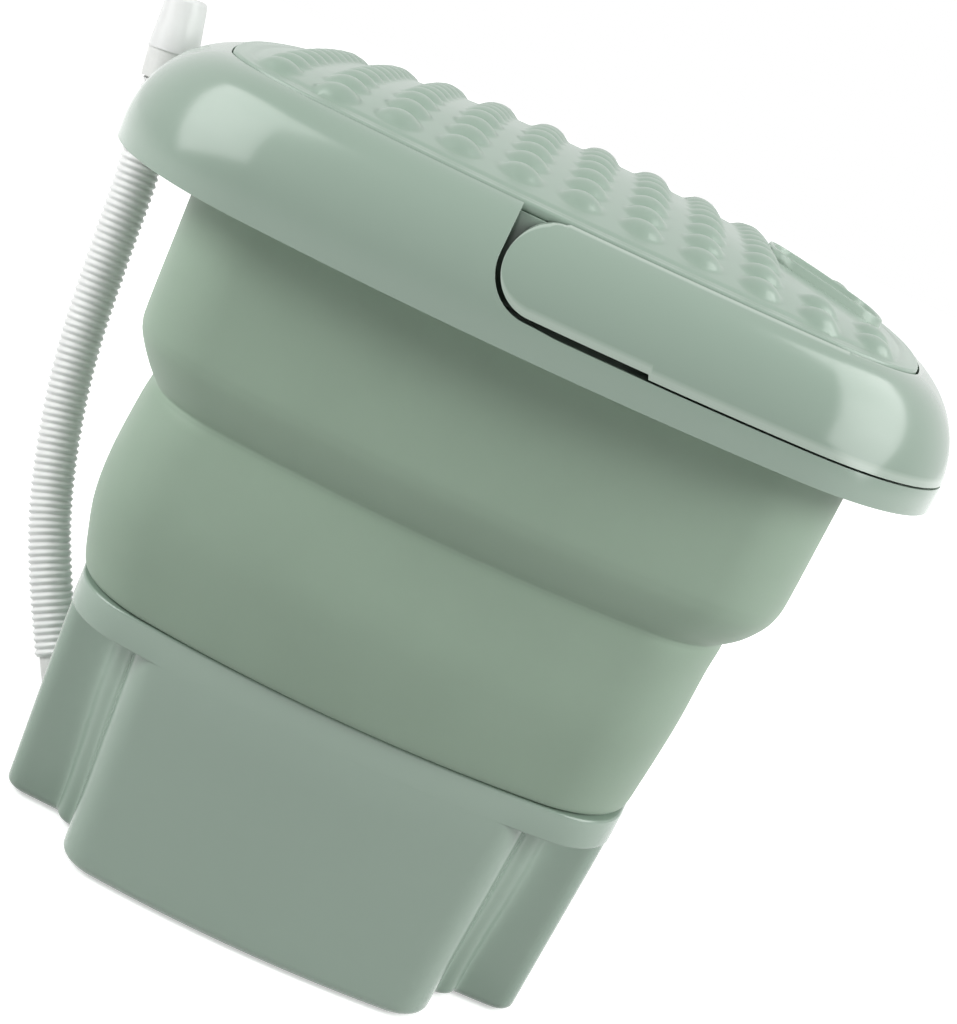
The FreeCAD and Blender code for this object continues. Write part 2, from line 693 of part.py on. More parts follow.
def make_lid():
    """Lift-off lid: dome with rows of bumps, a bead round its edge, a skirt, and a finger well."""
    skirt_x = SEAT_X - LID_FIT_GAP
    skirt_y = SEAT_Y - LID_FIT_GAP
    skirt_z = SEAT_TOP - LID_SKIRT_H
    bead_x = SEAT_X + LID_BEAD_W - LID_FIT_GAP
    bead_y = SEAT_Y + LID_BEAD_W - LID_FIT_GAP
    dome = lid_block(SEAT_X, SEAT_Y, LID_EDGE_Z)
    well = slab(TAB_HALF_L, TAB_HALF_W, TAB_CORNER, SEAT_TOP, 2 * SEAT_TOP, PANEL_FLAT)
    well = well.cut(slab(TAB_HALF_L - TAB_WALL, TAB_HALF_W - TAB_WALL, TAB_CORNER - TAB_WALL,
                         SEAT_TOP, 2 * SEAT_TOP, PANEL_FLAT))
    well.translate(Vec(TAB_X, 0, 0))
    raised = dome.copy()
    raised.translate(UP * TAB_H)
    raised = raised.fuse(rim_slab(SEAT_X, SEAT_Y, SEAT_TOP, LID_EDGE_Z + TAB_H))
    bumps = [Part.makeSphere(BUMP_R, Vec(x, y, LID_EDGE_Z + lid_rise(x, y) - BUMP_SINK))
             for x, y in bump_places()]
    bead = rim_slab(bead_x, bead_y, SEAT_TOP, LID_EDGE_Z)
    top_edges = [e for e in bead.Edges if e.BoundBox.ZMin > LID_EDGE_Z - LOCK_GAP]
    bead = bead.makeFillet(LID_BEAD_H / 3, top_edges)
    skirt = rim_slab(skirt_x, skirt_y, skirt_z, SEAT_TOP)
    outer = dome.fuse([bead, skirt, well.common(raised)] + bumps)
    inside_z = LID_EDGE_Z - LID_T
    inner = lid_block(skirt_x - LID_T, skirt_y - LID_T, inside_z)
    inner = inner.fuse(rim_slab(skirt_x - LID_T, skirt_y - LID_T, skirt_z - BUMP_R, inside_z))
    save("lid", outer.cut(inner))


def hose_edges():
    """Straight runs of the hose joined by arcs as large as the runs allow."""
    points = [Vec(p) for p in HOSE_POINTS]
    edges = []
    start = points[0]
    for before, corner, after in zip(points, points[1:], points[2:]):
        back = (before - corner).normalize()
        ahead = (after - corner).normalize()
        half_turn = (math.pi - back.getAngle(ahead)) / 2
        reach = 0.45 * min((before - corner).Length, (after - corner).Length)
        radius = reach / math.tan(half_turn)
        middle = corner + (back + ahead).normalize() * (radius / math.cos(half_turn) - radius)
        edges.append(Part.LineSegment(start, corner + back * reach).toShape())
        edges.append(Part.Arc(corner + back * reach, middle, corner + ahead * reach).toShape())
        print(f"hose arc radius {radius:.0f}")
        start = corner + ahead * reach
    edges.append(Part.LineSegment(start, points[-1]).toShape())
    return edges


def hose_ring(edges, distance, radius):
    """Circle square to the hose at a distance along it, with its seam held to the back."""
    for edge in edges:
        if distance <= edge.Length + 1e-6:
            break
        distance -= edge.Length
    place = edge.getParameterByLength(min(distance, edge.Length))
    along = edge.tangentAt(place)
    seam = BACK - along * BACK.dot(along)
    circle = Part.Circle(edge.valueAt(place), along, radius)
    circle.XAxis = seam.normalize()
    return Part.Wire(circle.toShape())


def make_drain():
    """Drain pipe, ribbed hose with its bore, end cuff, stopper cap, and the open clip on the rim."""
    save("drain_elbow", drain_path(PIPE_R).cut(drain_path(PIPE_BORE)))

    edges = hose_edges()
    length = sum(edge.Length for edge in edges)
    ribs = round(length / HOSE_RIB_PITCH)
    pitch = length / ribs
    rings = []
    for rib in range(ribs):
        for share, radius in ((0, HOSE_GROOVE_R), (0.3, HOSE_R), (0.6, HOSE_R), (0.9, HOSE_GROOVE_R)):
            rings.append(hose_ring(edges, (rib + share) * pitch, radius))
    rings.append(hose_ring(edges, length, HOSE_GROOVE_R))
    bore = [hose_ring(edges, rib * pitch, HOSE_BORE) for rib in range(ribs + 1)]
    hose = Part.makeLoft(rings, True, True).cut(Part.makeLoft(bore, True, True))
    mean = math.pi * ((HOSE_R ** 2 + HOSE_GROOVE_R ** 2) / 2 - HOSE_BORE ** 2) * length
    print(f"hose: {length:.0f} mm long, {ribs} ribs, volume over section {hose.Volume / mean:.3f}")
    save("drain_hose", hose)

    foot = HOSE_END - HOSE_END_DIR * CUFF_L
    save("hose_cuff", tube(CUFF_R, HOSE_R + SEAT_GAP, foot, HOSE_END_DIR, CUFF_L))
    cap = Part.makeCone(CAP_R, CAP_TOP_R, CAP_L, HOSE_END, HOSE_END_DIR)
    top = HOSE_END + HOSE_END_DIR * CAP_L
    top_edges = [e for e in cap.Edges if e.Closed and e.CenterOfMass.isEqual(top, LOCK_GAP)]
    cap = cap.makeFillet(CAP_ROUND, top_edges)
    plug = rod(HOSE_BORE - SEAT_GAP, HOSE_END - HOSE_END_DIR * CAP_PLUG_L, HOSE_END_DIR, CAP_PLUG_L)
    save("hose_cap", cap.fuse(plug))

    spot = length - CLIP_DOWN
    middle = hose_ring(edges, spot, HOSE_R).CenterOfMass
    arm = box((middle.x, middle.y - CLIP_ARM_W / 2, middle.z - CLIP_H / 2),
              (middle.x + CLIP_REACH, middle.y + CLIP_ARM_W / 2, RIM_Z))
    clip_r = HOSE_R + SEAT_GAP + RUNNING_GAP
    hold = rod(clip_r + CLIP_T, middle - UP * (CLIP_H / 2), UP, CLIP_H)
    room = [hose_ring(edges, spot + step * CLIP_H / 2, clip_r) for step in range(-3, 4)]
    turn = math.radians(CLIP_OPEN_TURN)
    aside = Vec(math.cos(turn), math.sin(turn), 0)
    mouth = rod(CLIP_REACH, middle + aside * CLIP_OPEN, aside, CLIP_REACH)
    clip = hold.cut(mouth).fuse(arm).cut(Part.makeLoft(room, True, True))
    save("hose_clip", clip)


def panel_y(x, z):
    """Y of the base's back face."""
    a = PANEL_X + lean_at(z)
    b = PANEL_Y + lean_at(z, PANEL_LEAN)
    front = oval_radii(a, b, PANEL_CORNER, PANEL_FLAT)[0]
    return b - front + math.sqrt(front ** 2 - x ** 2)


def round_plate(half_w, half_h, corner, low_y, high_y, z):
    """Upright plate with rounded corners, square to Y."""
    plate = box((-half_w, low_y, z - half_h), (half_w, high_y, z + half_h))
    depth = high_y - low_y
    edges = [e for e in plate.Edges
             if abs(e.BoundBox.YLength - depth) < LOCK_GAP and e.BoundBox.XLength < LOCK_GAP]
    return plate.makeFillet(corner, edges)


def control_holes():
    """Window for the bezel and seat for the power inlet in the base's back wall."""
    face = panel_y(0, BEZEL_Z)
    inlet = inlet_seat()
    return [
        round_plate(BEZEL_W / 2 + LOCK_GAP, BEZEL_H / 2 + LOCK_GAP, BEZEL_CORNER,
                    face - 4 * WALL, face + WALL, BEZEL_Z),
        rod(INLET_R + LOCK_GAP, (0, inlet - INLET_L, INLET_Z), BACK, INLET_L),
        rod(INLET_FLANGE_R + LOCK_GAP, (0, inlet, INLET_Z), BACK, INLET_FLANGE_T),
    ]


def inlet_seat():
    """Y of the flat that the inlet's flange sits on."""
    return panel_y(INLET_FLANGE_R, INLET_Z - INLET_FLANGE_R)


def make_controls():
    """Bezel with two buttons and a lens, the board behind it with its screws, and the power inlet."""
    front = panel_y(0, BEZEL_Z) + BEZEL_PROUD
    rear = front - BEZEL_T
    board = front + BUTTON_PROUD - BUTTON_L - BUTTON_TRAVEL - SEAT_GAP
    post_x = BOARD_W / 2 - POST_R
    post_z = BOARD_H / 2 - POST_R
    bezel = round_plate(BEZEL_W / 2, BEZEL_H / 2, BEZEL_CORNER, rear, front, BEZEL_Z)
    plate = round_plate(BOARD_W / 2, BOARD_H / 2, LENS_R, board - BOARD_T, board, BEZEL_Z)
    screws = []
    for x, z in at_corners(post_x, post_z):
        bezel = bezel.fuse(rod(POST_R, (x, board, BEZEL_Z + z), BACK, rear - board))
        hole = rod(PILOT_R + LOCK_GAP, (x, board - BOARD_T, BEZEL_Z + z), BACK, PILOT_L)
        bezel = bezel.cut(hole)
        plate = plate.cut(hole)
        head = rod(POST_R, (x, board - BOARD_T - SCREW_HEAD_H, BEZEL_Z + z), BACK, SCREW_HEAD_H)
        screws.append(head.fuse(rod(PILOT_R, (x, board - BOARD_T, BEZEL_Z + z), BACK, PILOT_L)))
    for name, x in (("power_button", -BUTTON_X), ("mode_button", BUTTON_X)):
        tail = front + BUTTON_PROUD - BUTTON_L
        button = rod(BUTTON_R, (x, tail, BEZEL_Z), BACK, BUTTON_L)
        stop = rod(BUTTON_R + BUTTON_STOP, (x, tail, BEZEL_Z), BACK, rear - SEAT_GAP - tail)
        save(name, button.fuse(stop))
        bezel = bezel.cut(rod(BUTTON_R + SEAT_GAP, (x, rear, BEZEL_Z), BACK, BEZEL_T))
    bezel = bezel.cut(rod(LENS_R + LOCK_GAP, (0, rear, BEZEL_Z), BACK, BEZEL_T))
    save("control_bezel", bezel)
    save("indicator_lens", rod(LENS_R, (0, board, BEZEL_Z), BACK, front + SEAT_GAP - board))
    save("control_board", plate)
    save("board_screws", screws)

    inlet = inlet_seat()
    body = rod(INLET_R, (0, inlet - INLET_L, INLET_Z), BACK, INLET_L)
    body = body.fuse(rod(INLET_FLANGE_R, (0, inlet, INLET_Z), BACK, INLET_FLANGE_T))
    body = body.cut(rod(INLET_SOCKET_R, (0, inlet - INLET_L / 2, INLET_Z), BACK, INLET_L))
    save("power_inlet", body.fuse(rod(PILOT_R, (0, inlet - INLET_L / 2, INLET_Z), BACK, INLET_L / 2)))


os.makedirs("parts", exist_ok=True)
make_base()
make_drive()
make_floor()
make_tub()
make_rim()
make_handle()
make_lid()
make_drain()
make_controls()
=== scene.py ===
"""Looks of a foldable washing machine: soft tub, glossy base and rim, bumped lid, handle, drain hose."""

import json
import math

import bmesh
import bpy
import numpy as np
from bpy.props import FloatProperty, FloatVectorProperty, IntProperty, PointerProperty
from bpy.types import Operator, Panel, PropertyGroup
from mathutils import Matrix, Vector


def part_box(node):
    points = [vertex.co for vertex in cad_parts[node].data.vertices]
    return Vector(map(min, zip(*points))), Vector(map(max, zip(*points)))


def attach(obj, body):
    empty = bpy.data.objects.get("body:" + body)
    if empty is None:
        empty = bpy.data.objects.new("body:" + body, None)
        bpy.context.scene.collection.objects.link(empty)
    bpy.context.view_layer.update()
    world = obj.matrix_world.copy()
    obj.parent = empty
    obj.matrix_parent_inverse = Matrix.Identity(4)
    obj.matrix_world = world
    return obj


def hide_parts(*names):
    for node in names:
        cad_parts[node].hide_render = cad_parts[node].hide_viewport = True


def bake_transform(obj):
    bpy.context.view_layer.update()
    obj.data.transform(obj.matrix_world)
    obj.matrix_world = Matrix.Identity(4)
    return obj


bl_info = {
    "name": "Foldable washing machine",
    "version": (1, 0, 0),
    "blender": (4, 5, 0),
    "location": "View3D > Sidebar > Washer",
    "description": "Builds the shells, soft tub wall, hose and finishes round the packed part",
    "category": "Object",
}

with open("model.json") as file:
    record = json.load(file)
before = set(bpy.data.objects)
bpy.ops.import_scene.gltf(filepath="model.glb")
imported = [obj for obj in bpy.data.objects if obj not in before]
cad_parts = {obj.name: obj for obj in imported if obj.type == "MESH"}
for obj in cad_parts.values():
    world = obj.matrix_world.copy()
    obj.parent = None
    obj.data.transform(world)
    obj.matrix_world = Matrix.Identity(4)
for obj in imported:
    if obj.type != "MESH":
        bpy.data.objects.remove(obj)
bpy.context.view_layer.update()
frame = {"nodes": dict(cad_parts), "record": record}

MM = 0.001
FULL_TURN = 2 * math.pi
PLAN_SAMPLES = 2880
WELD = 0.01 * MM
RIM_LOW, RIM_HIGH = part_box("rim")
BASE_LOW, BASE_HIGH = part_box("base_housing")
LID_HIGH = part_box("lid")[1]
RIM_X = RIM_HIGH[0]
RIM_Y = RIM_HIGH[1]
RIM_Z = RIM_LOW[2]
SEAM_Z = BASE_HIGH[2]
FLANGE_X = BASE_HIGH[0]
FLANGE_Y = BASE_HIGH[1]
BEAD_X = LID_HIGH[0]
BEAD_Y = LID_HIGH[1]

# Shared plan of the rim, lid and handle: an oval of eight arcs, which shrinks with its corners
OVAL_FLAT = math.radians(12)
RIM_CORNER = 87 * MM
BAND_TOP = RIM_Z + 11.5 * MM
DOME_Z = RIM_Z + 7 * MM
DOME_H = 43 * MM
DOME_ROUND_X = 40 * MM
DOME_ROUND_Y = 28 * MM
DOME_SWEEP = math.radians(84)
SEAT_TOP = RIM_Z + 46.4 * MM
LEDGE_Z = SEAT_TOP - 15 * MM
WALL = 3 * MM
HANDLE_END_R = 17.2 * MM
HANDLE_ROOM = HANDLE_END_R + 2 * MM
PIVOT_Z = BAND_TOP + 2.7 * MM + HANDLE_END_R
HANDLE_LOW = PIVOT_Z - HANDLE_END_R
HOSE_POINTS = [
    (-0.1395, 0.014, 0.0375),
    (-0.1605, 0.024, 0.0715),
    (-0.1785, 0.038, 0.109),
    (-0.193, 0.052, 0.163),
    (-0.1985, 0.062, 0.218),
    (-0.201, 0.068, 0.267),
    (-0.2075, 0.072, 0.321),
]


def smooth_step(value, low, high):
    """Rise from 0 at low to 1 at high without corners."""
    t = np.clip((np.asarray(value, float) - low) / (high - low), 0, 1)
    return t * t * (3 - 2 * t)


def oval_radii(a, b, corner, flat=OVAL_FLAT):
    """Radii of the front and side arcs that meet the corner arcs of an oval smoothly."""
    s = math.sin(flat)
    c = math.cos(flat)
    lean = 1 - c
    right_a = a - corner * (c - s)
    right_b = b - corner * (c - s)
    det = lean * lean - s * s
    return (right_b * lean - right_a * s) / det, (right_a * lean - right_b * s) / det


def oval(a, b, corner, turns, flat=OVAL_FLAT):
    """Points of an oval of eight tangent arcs at the given directions of its normal."""
    front, side = oval_radii(a, b, corner, flat)
    nx = np.cos(turns)
    ny = np.sin(turns)
    ax = np.abs(nx)
    ay = np.abs(ny)
    quarter = np.arctan2(ay, ax)
    on_side = quarter <= flat
    on_front = quarter >= math.pi / 2 - flat
    hub_x = np.where(on_side, a - side, np.where(on_front, 0, (front - corner) * math.sin(flat)))
    hub_y = np.where(on_side, 0, np.where(on_front, b - front,
                                          b - front + (front - corner) * math.cos(flat)))
    radius = np.where(on_side, side, np.where(on_front, front, corner))
    return np.sign(nx) * (hub_x + radius * ax), np.sign(ny) * (hub_y + radius * ay)


def ring(a, b, corner, z, turns, flat=OVAL_FLAT):
    """One level oval as rows of points."""
    x, y = oval(a, b, corner, turns, flat)
    return np.stack([x, y, np.broadcast_to(z, x.shape)], axis=-1)


def all_round(count):
    """Directions spread evenly round a full turn."""
    return np.arange(count) * FULL_TURN / count


def even_turns(a, b, corner, count, flat=OVAL_FLAT):
    """Directions that space an oval's points evenly along it."""
    fine = np.linspace(0, FULL_TURN, PLAN_SAMPLES + 1)
    x, y = oval(a, b, corner, fine, flat)
    along = np.concatenate([[0], np.cumsum(np.hypot(np.diff(x), np.diff(y)))])
    return np.interp(np.arange(count) * along[-1] / count, along, fine)


def rim_ring(a, b, z, turns):
    """Level oval of the rim's family: its corner radius shrinks with its length."""
    return ring(a, b, RIM_CORNER - RIM_X + a, z, turns)


def spline(points, per_span):
    """Smooth line through a few points, each span cut into equal steps."""
    pts = np.asarray(points, float)
    ends = np.vstack([2 * pts[0] - pts[1], pts, 2 * pts[-1] - pts[-2]])
    line = []
    for i in range(1, len(ends) - 2):
        p0, p1, p2, p3 = ends[i - 1:i + 3]
        for t in np.arange(per_span) / per_span:
            line.append(0.5 * (2 * p1 + (p2 - p0) * t + (2 * p0 - 5 * p1 + 4 * p2 - p3) * t ** 2
                               + (3 * p1 - p0 - 3 * p2 + p3) * t ** 3))
    line.append(pts[-1])
    return np.array(line)


def quads(rows, cols, wrap_rows=False, wrap_cols=True, start=0):
    """Faces of a grid of points kept row by row."""
    faces = []
    for r in range(rows if wrap_rows else rows - 1):
        for c in range(cols if wrap_cols else cols - 1):
            r2 = (r + 1) % rows
            c2 = (c + 1) % cols
            faces.append((start + r * cols + c, start + r * cols + c2,
                          start + r2 * cols + c2, start + r2 * cols + c))
    return faces


def add_piece(name, points, faces, finish, crisp=38):
    """Make a mesh piece with smooth shading that breaks at crisp edges."""
    mesh = bpy.data.meshes.new(name)
    mesh.from_pydata([tuple(p) for p in points], [], faces)
    work = bmesh.new()
    work.from_mesh(mesh)
    bmesh.ops.remove_doubles(work, verts=work.verts, dist=WELD)
    bmesh.ops.dissolve_degenerate(work, edges=work.edges, dist=WELD)
    work.to_mesh(mesh)
    work.free()
    mesh.shade_smooth()
    mesh.set_sharp_from_angle(angle=math.radians(crisp))
    mesh.materials.append(finish)
    piece = bpy.data.objects.new(name, mesh)
    bpy.context.collection.objects.link(piece)
    return piece


def add_loft(name, rings, finish, wrap_rows=False, poles=(None, None), crisp=38):
    """Skin through rings of points, closed round and optionally into a loop or onto end points."""
    grid = np.asarray(rings)
    rows, cols = grid.shape[:2]
    points = list(grid.reshape(-1, 3))
    faces = quads(rows, cols, wrap_rows)
    for place, row in zip(poles, (0, rows - 1)):
        if place is not None:
            for c in range(cols):
                edge = (row * cols + c, row * cols + (c + 1) % cols)
                faces.append((len(points),) + (edge[::-1] if row == 0 else edge))
            points.append(np.asarray(place))
    return add_piece(name, points, faces, finish, crisp)


class FinishSettings(PropertyGroup):
    """Colours of the main finishes, and how glossy the hard plastic is."""

    shell: FloatVectorProperty(name="Shell", description="Sage plastic of base, rim, handle and lid",
                               subtype="COLOR", size=3, min=0, max=1, default=(0.262, 0.350, 0.285))
    tub: FloatVectorProperty(name="Tub wall", description="Soft rubbery wall of the tub",
                             subtype="COLOR", size=3, min=0, max=1, default=(0.266, 0.357, 0.274))
    hose: FloatVectorProperty(name="Hose", description="Milky plastic of hose, cuff and cap",
                              subtype="COLOR", size=3, min=0, max=1, default=(0.78, 0.79, 0.78))
    gloss: FloatProperty(name="Shell roughness", description="Roughness of the hard plastic",
                         subtype="FACTOR", min=0, max=1, default=0.20)


class TubSettings(PropertyGroup):
    """Sizes of the soft wall that a user may want to change."""

    thickness: FloatProperty(name="Thickness", description="Thickness of the soft wall",
                             unit="LENGTH", default=3 * MM)
    sway: FloatProperty(name="Sway", description="How much of its sideways lean the soft wall shows",
                        subtype="FACTOR", min=0, max=1, default=1)


class LidSettings(PropertyGroup):
    """Sizes of the bumps on the lid."""

    bump_radius: FloatProperty(name="Bump radius", description="Radius of each round bump",
                               unit="LENGTH", default=12 * MM)
    bump_sink: FloatProperty(name="Bump sink", description="How far a bump's centre lies under the lid",
                             unit="LENGTH", default=8.2 * MM)
    bump_blend: FloatProperty(name="Bump blend", description="Softness where bumps meet the lid",
                              unit="LENGTH", default=0.5 * MM)


class HoseSettings(PropertyGroup):
    """Sizes of the ribbed hose."""

    radius: FloatProperty(name="Rib radius", description="Radius over the ribs", unit="LENGTH",
                          default=10.6 * MM)
    groove: FloatProperty(name="Groove radius", description="Radius between the ribs", unit="LENGTH",
                          default=9.5 * MM)
    ribs: IntProperty(name="Ribs", description="Number of ribs along the hose", default=88)


class StageSettings(PropertyGroup):
    """Camera and lights."""

    eye: FloatVectorProperty(name="Camera", description="Where the camera stands", subtype="XYZ",
                             unit="LENGTH", size=3, default=(-0.002, -0.800, 0.4178))
    pitch: FloatProperty(name="Pitch", description="How far the camera looks down", subtype="ANGLE",
                         default=math.radians(15.378))
    yaw: FloatProperty(name="Yaw", description="How far the camera turns to the right", subtype="ANGLE",
                       default=math.radians(1.401))
    roll: FloatProperty(name="Roll", description="How far the camera leans", subtype="ANGLE",
                        default=math.radians(25.3))
    lens: FloatProperty(name="Lens", description="Focal length in millimetres", default=67.54)
    key: FloatProperty(name="Side lights", description="Power of the lights on both sides", default=32)
    top: FloatProperty(name="Top light", description="Power of the light above", default=3)
    cards: FloatProperty(name="Cards", description="Power of the cards that only reflections see", default=12)


def node(tree, kind, **values):
    """Add a shader node and set its properties and its unlinked inputs by name."""
    made = tree.nodes.new(kind)
    for key, value in values.items():
        if key in made.inputs:
            made.inputs[key].default_value = value
        else:
            setattr(made, key, value)
    return made


def finish_base(name):
    """New material with its shader and a scale of places in metres."""
    finish = bpy.data.materials.new(name)
    finish.use_nodes = True
    tree = finish.node_tree
    shader = tree.nodes["Principled BSDF"]
    places = node(tree, "ShaderNodeTexCoord")
    return finish, tree, shader, places.outputs["Object"]


def set_shader(shader, **values):
    """Set constants on the shader's own sockets, written with underscores for spaces."""
    for key, value in values.items():
        shader.inputs[key.replace("_", " ")].default_value = value


# Finishes: procedural, on the shader's own sockets
PATCH_SPAN = (0.3, 0.7)
# Painted highlight on edges: the pointiness span it covers and the pale tone screened on
EDGE_HIGHLIGHT_SPAN = {"From Min": 0.53, "From Max": 0.62}
EDGE_HIGHLIGHT_TONE = (0.5, 0.56, 0.5, 1)
GRAIN_DEPTH = 0.2 * MM
LID_ROUGHNESS = 0.36
FINISHES = {}


def vary_colour(tree, shader, places, colour, scale, amount, detail=4.0):
    """Drive the base colour by a cloud of slightly lighter and darker patches."""
    cloud = node(tree, "ShaderNodeTexNoise", Scale=scale, Detail=detail, Roughness=0.6)
    ramp = node(tree, "ShaderNodeValToRGB")
    for stop, position, share in zip(ramp.color_ramp.elements, PATCH_SPAN, (1 - amount, 1 + amount)):
        stop.position = position
        stop.color = tuple(min(1, c * share) for c in colour) + (1,)
    tree.links.new(places, cloud.inputs["Vector"])
    tree.links.new(cloud.outputs["Fac"], ramp.inputs["Fac"])
    tree.links.new(ramp.outputs["Color"], shader.inputs["Base Color"])
    return ramp.outputs["Color"]


def lift_edges(tree, shader, colour_from, lift):
    """Lighten the colour where edges stick out: a painted highlight along the edges."""
    shape = node(tree, "ShaderNodeNewGeometry")
    edge = node(tree, "ShaderNodeMapRange", **EDGE_HIGHLIGHT_SPAN, **{"To Max": lift})
    # Painted highlight: screen a pale tone onto the edges that stick out
    edge_highlight = node(tree, "ShaderNodeMix", data_type="RGBA", blend_type="SCREEN")
    tree.links.new(shape.outputs["Pointiness"], edge.inputs["Value"])
    tree.links.new(edge.outputs["Result"], edge_highlight.inputs["Factor"])
    tree.links.new(colour_from, edge_highlight.inputs["A"])
    edge_highlight.inputs["B"].default_value = EDGE_HIGHLIGHT_TONE
    tree.links.new(edge_highlight.outputs["Result"], shader.inputs["Base Color"])


def vary_roughness(tree, shader, places, low, high, scale):
    """Drive roughness by fine patches between two values."""
    cloud = node(tree, "ShaderNodeTexNoise", Scale=scale, Detail=3.0)
    span = node(tree, "ShaderNodeMapRange", **{"To Min": low, "To Max": high})
    tree.links.new(places, cloud.inputs["Vector"])
    tree.links.new(cloud.outputs["Fac"], span.inputs["Value"])
    tree.links.new(span.outputs["Result"], shader.inputs["Roughness"])


def grain(tree, shader, places, scale, strength):
    """Fine moulded grain as bump."""
    cloud = node(tree, "ShaderNodeTexNoise", Scale=scale, Detail=2.0)
    bump = node(tree, "ShaderNodeBump", Strength=strength, Distance=GRAIN_DEPTH)
    tree.links.new(places, cloud.inputs["Vector"])
    tree.links.new(cloud.outputs["Fac"], bump.inputs["Height"])
    tree.links.new(bump.outputs["Normal"], shader.inputs["Normal"])


def sage_plastic(name, colour, rough):
    """Glossy moulded plastic with slight unevenness and a painted highlight along its edges."""
    finish, tree, shader, places = finish_base(name)
    tone = vary_colour(tree, shader, places, colour, scale=6.0, amount=0.015)
    lift_edges(tree, shader, tone, lift=0.35)
    vary_roughness(tree, shader, places, rough - 0.02, rough + 0.03, scale=9.0)
    grain(tree, shader, places, scale=420.0, strength=0.02)
    set_shader(shader, IOR=1.5, Coat_Weight=0.25, Coat_Roughness=0.12)
    return finish


def soft_rubber(name, colour):
    """Matte rubbery wall with cloudy tone, faint rub marks and a soft sheen."""
    finish, tree, shader, places = finish_base(name)
    vary_colour(tree, shader, places, colour, scale=9.0, amount=0.05, detail=6.0)
    vary_roughness(tree, shader, places, low=0.48, high=0.62, scale=30.0)
    grain(tree, shader, places, scale=240.0, strength=0.10)
    set_shader(shader, IOR=1.45, Sheen_Weight=0.08, Sheen_Roughness=0.5, Subsurface_Weight=0.06,
               Subsurface_Radius=(0.6, 1.0, 0.6), Subsurface_Scale=0.004)
    return finish


def milky_plastic(name, colour):
    """Whitish plastic that lets some light through."""
    finish, tree, shader, places = finish_base(name)
    vary_colour(tree, shader, places, colour, scale=60.0, amount=0.03)
    vary_roughness(tree, shader, places, low=0.26, high=0.40, scale=90.0)
    grain(tree, shader, places, scale=600.0, strength=0.05)
    set_shader(shader, IOR=1.47, Subsurface_Weight=0.35, Subsurface_Radius=(1.0, 1.0, 1.0),
               Subsurface_Scale=0.004, Coat_Weight=0.1)
    return finish


def plain_plastic(name, colour, rough, scale=120.0):
    """Hard plastic or rubber for small and inner pieces."""
    finish, tree, shader, places = finish_base(name)
    vary_colour(tree, shader, places, colour, scale, amount=0.06)
    vary_roughness(tree, shader, places, rough - 0.06, rough + 0.08, 2 * scale)
    grain(tree, shader, places, 5 * scale, strength=0.08)
    return finish


def brushed_metal(name, colour, rough):
    """Metal with turned or brushed marks."""
    finish, tree, shader, places = finish_base(name)
    vary_colour(tree, shader, places, colour, scale=180.0, amount=0.08)
    vary_roughness(tree, shader, places, rough - 0.08, rough + 0.1, scale=260.0)
    grain(tree, shader, places, scale=900.0, strength=0.06)
    set_shader(shader, Metallic=1.0)
    return finish


def make_finishes():
    """Make all materials, by the record's slot names."""
    tones = bpy.context.scene.washer_finish
    FINISHES.update({
        "sage_shell": sage_plastic("Sage plastic", tuple(tones.shell), tones.gloss),
        "sage_lid": sage_plastic("Sage lid plastic", tuple(tones.shell), LID_ROUGHNESS),
        "soft_tub": soft_rubber("Soft tub rubber", tuple(tones.tub)),
        "clear_hose": milky_plastic("Milky hose plastic", tuple(tones.hose)),
        "dark_cover": plain_plastic("Dark cover plastic", (0.018, 0.022, 0.020), 0.5),
        "foot_rubber": plain_plastic("Foot rubber", (0.022, 0.022, 0.022), 0.8),
        "white_plastic": plain_plastic("White plastic", (0.72, 0.73, 0.71), 0.35),
        "grey_plastic": plain_plastic("Grey green plastic", (0.23, 0.26, 0.245), 0.4),
        "lens_plastic": plain_plastic("Lens plastic", (0.55, 0.72, 0.58), 0.15),
        "board_green": plain_plastic("Board laminate", (0.03, 0.14, 0.06), 0.45),
        "steel": brushed_metal("Screw steel", (0.62, 0.62, 0.61), 0.3),
        "motor_paint": brushed_metal("Motor can steel", (0.38, 0.39, 0.40), 0.4),
        "bronze": brushed_metal("Bush bronze", (0.58, 0.40, 0.20), 0.35),
    })


def settle(piece, body, slot, *nodes):
    """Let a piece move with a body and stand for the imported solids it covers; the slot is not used."""
    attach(piece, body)
    if nodes:
        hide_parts(*nodes)


# Base: three crossed blocks under an oval flange
BLOCK_FLAT = math.radians(8)
PANEL = (94.5 * MM, 107 * MM, 18 * MM, BLOCK_FLAT)
LOBE = (104 * MM, 76 * MM, 7 * MM, BLOCK_FLAT)
COLUMN = (129.5 * MM, 65 * MM, 8 * MM, math.radians(4))
FLANGE_FLAT = math.radians(10)
FLANGE_CORNER = 36 * MM
FLANGE_Z = SEAM_Z - 14 * MM
BASE_LEAN = 4 * MM
PANEL_LEAN = 8.6 * MM
FLUSH_W = 0.8 * MM
FLANGE_EDGE = 0.4 * MM
FOOT_ROUND = 5 * MM
SKIRT_DROP = 1.5 * MM
COVE_SOFT = (1.2 * MM, 4.5 * MM)
COVE_SPAN = (0.05, 0.6)
FLANGE_TUCK = 0.5 * MM
DECK_T = 3 * MM
DECK_ROUND = 1.2 * MM
DECK_HOLE = 40 * MM
BASE_COLUMNS = 720
BASE_RINGS = 24


def reach(a, b, corner, flat, bearings):
    """How far an oval reaches from its middle in each bearing."""
    x, y = oval(a, b, corner, all_round(PLAN_SAMPLES), flat)
    at = np.unwrap(np.arctan2(y, x))
    return np.interp(bearings, at, np.hypot(x, y), period=FULL_TURN)


def soft_most(values, softness):
    """Largest of several arrays, with a soft hand-over between them."""
    stack = np.stack(values) / softness
    top = stack.max(axis=0)
    return softness * (top + np.log(np.exp(stack - top).sum(axis=0)))


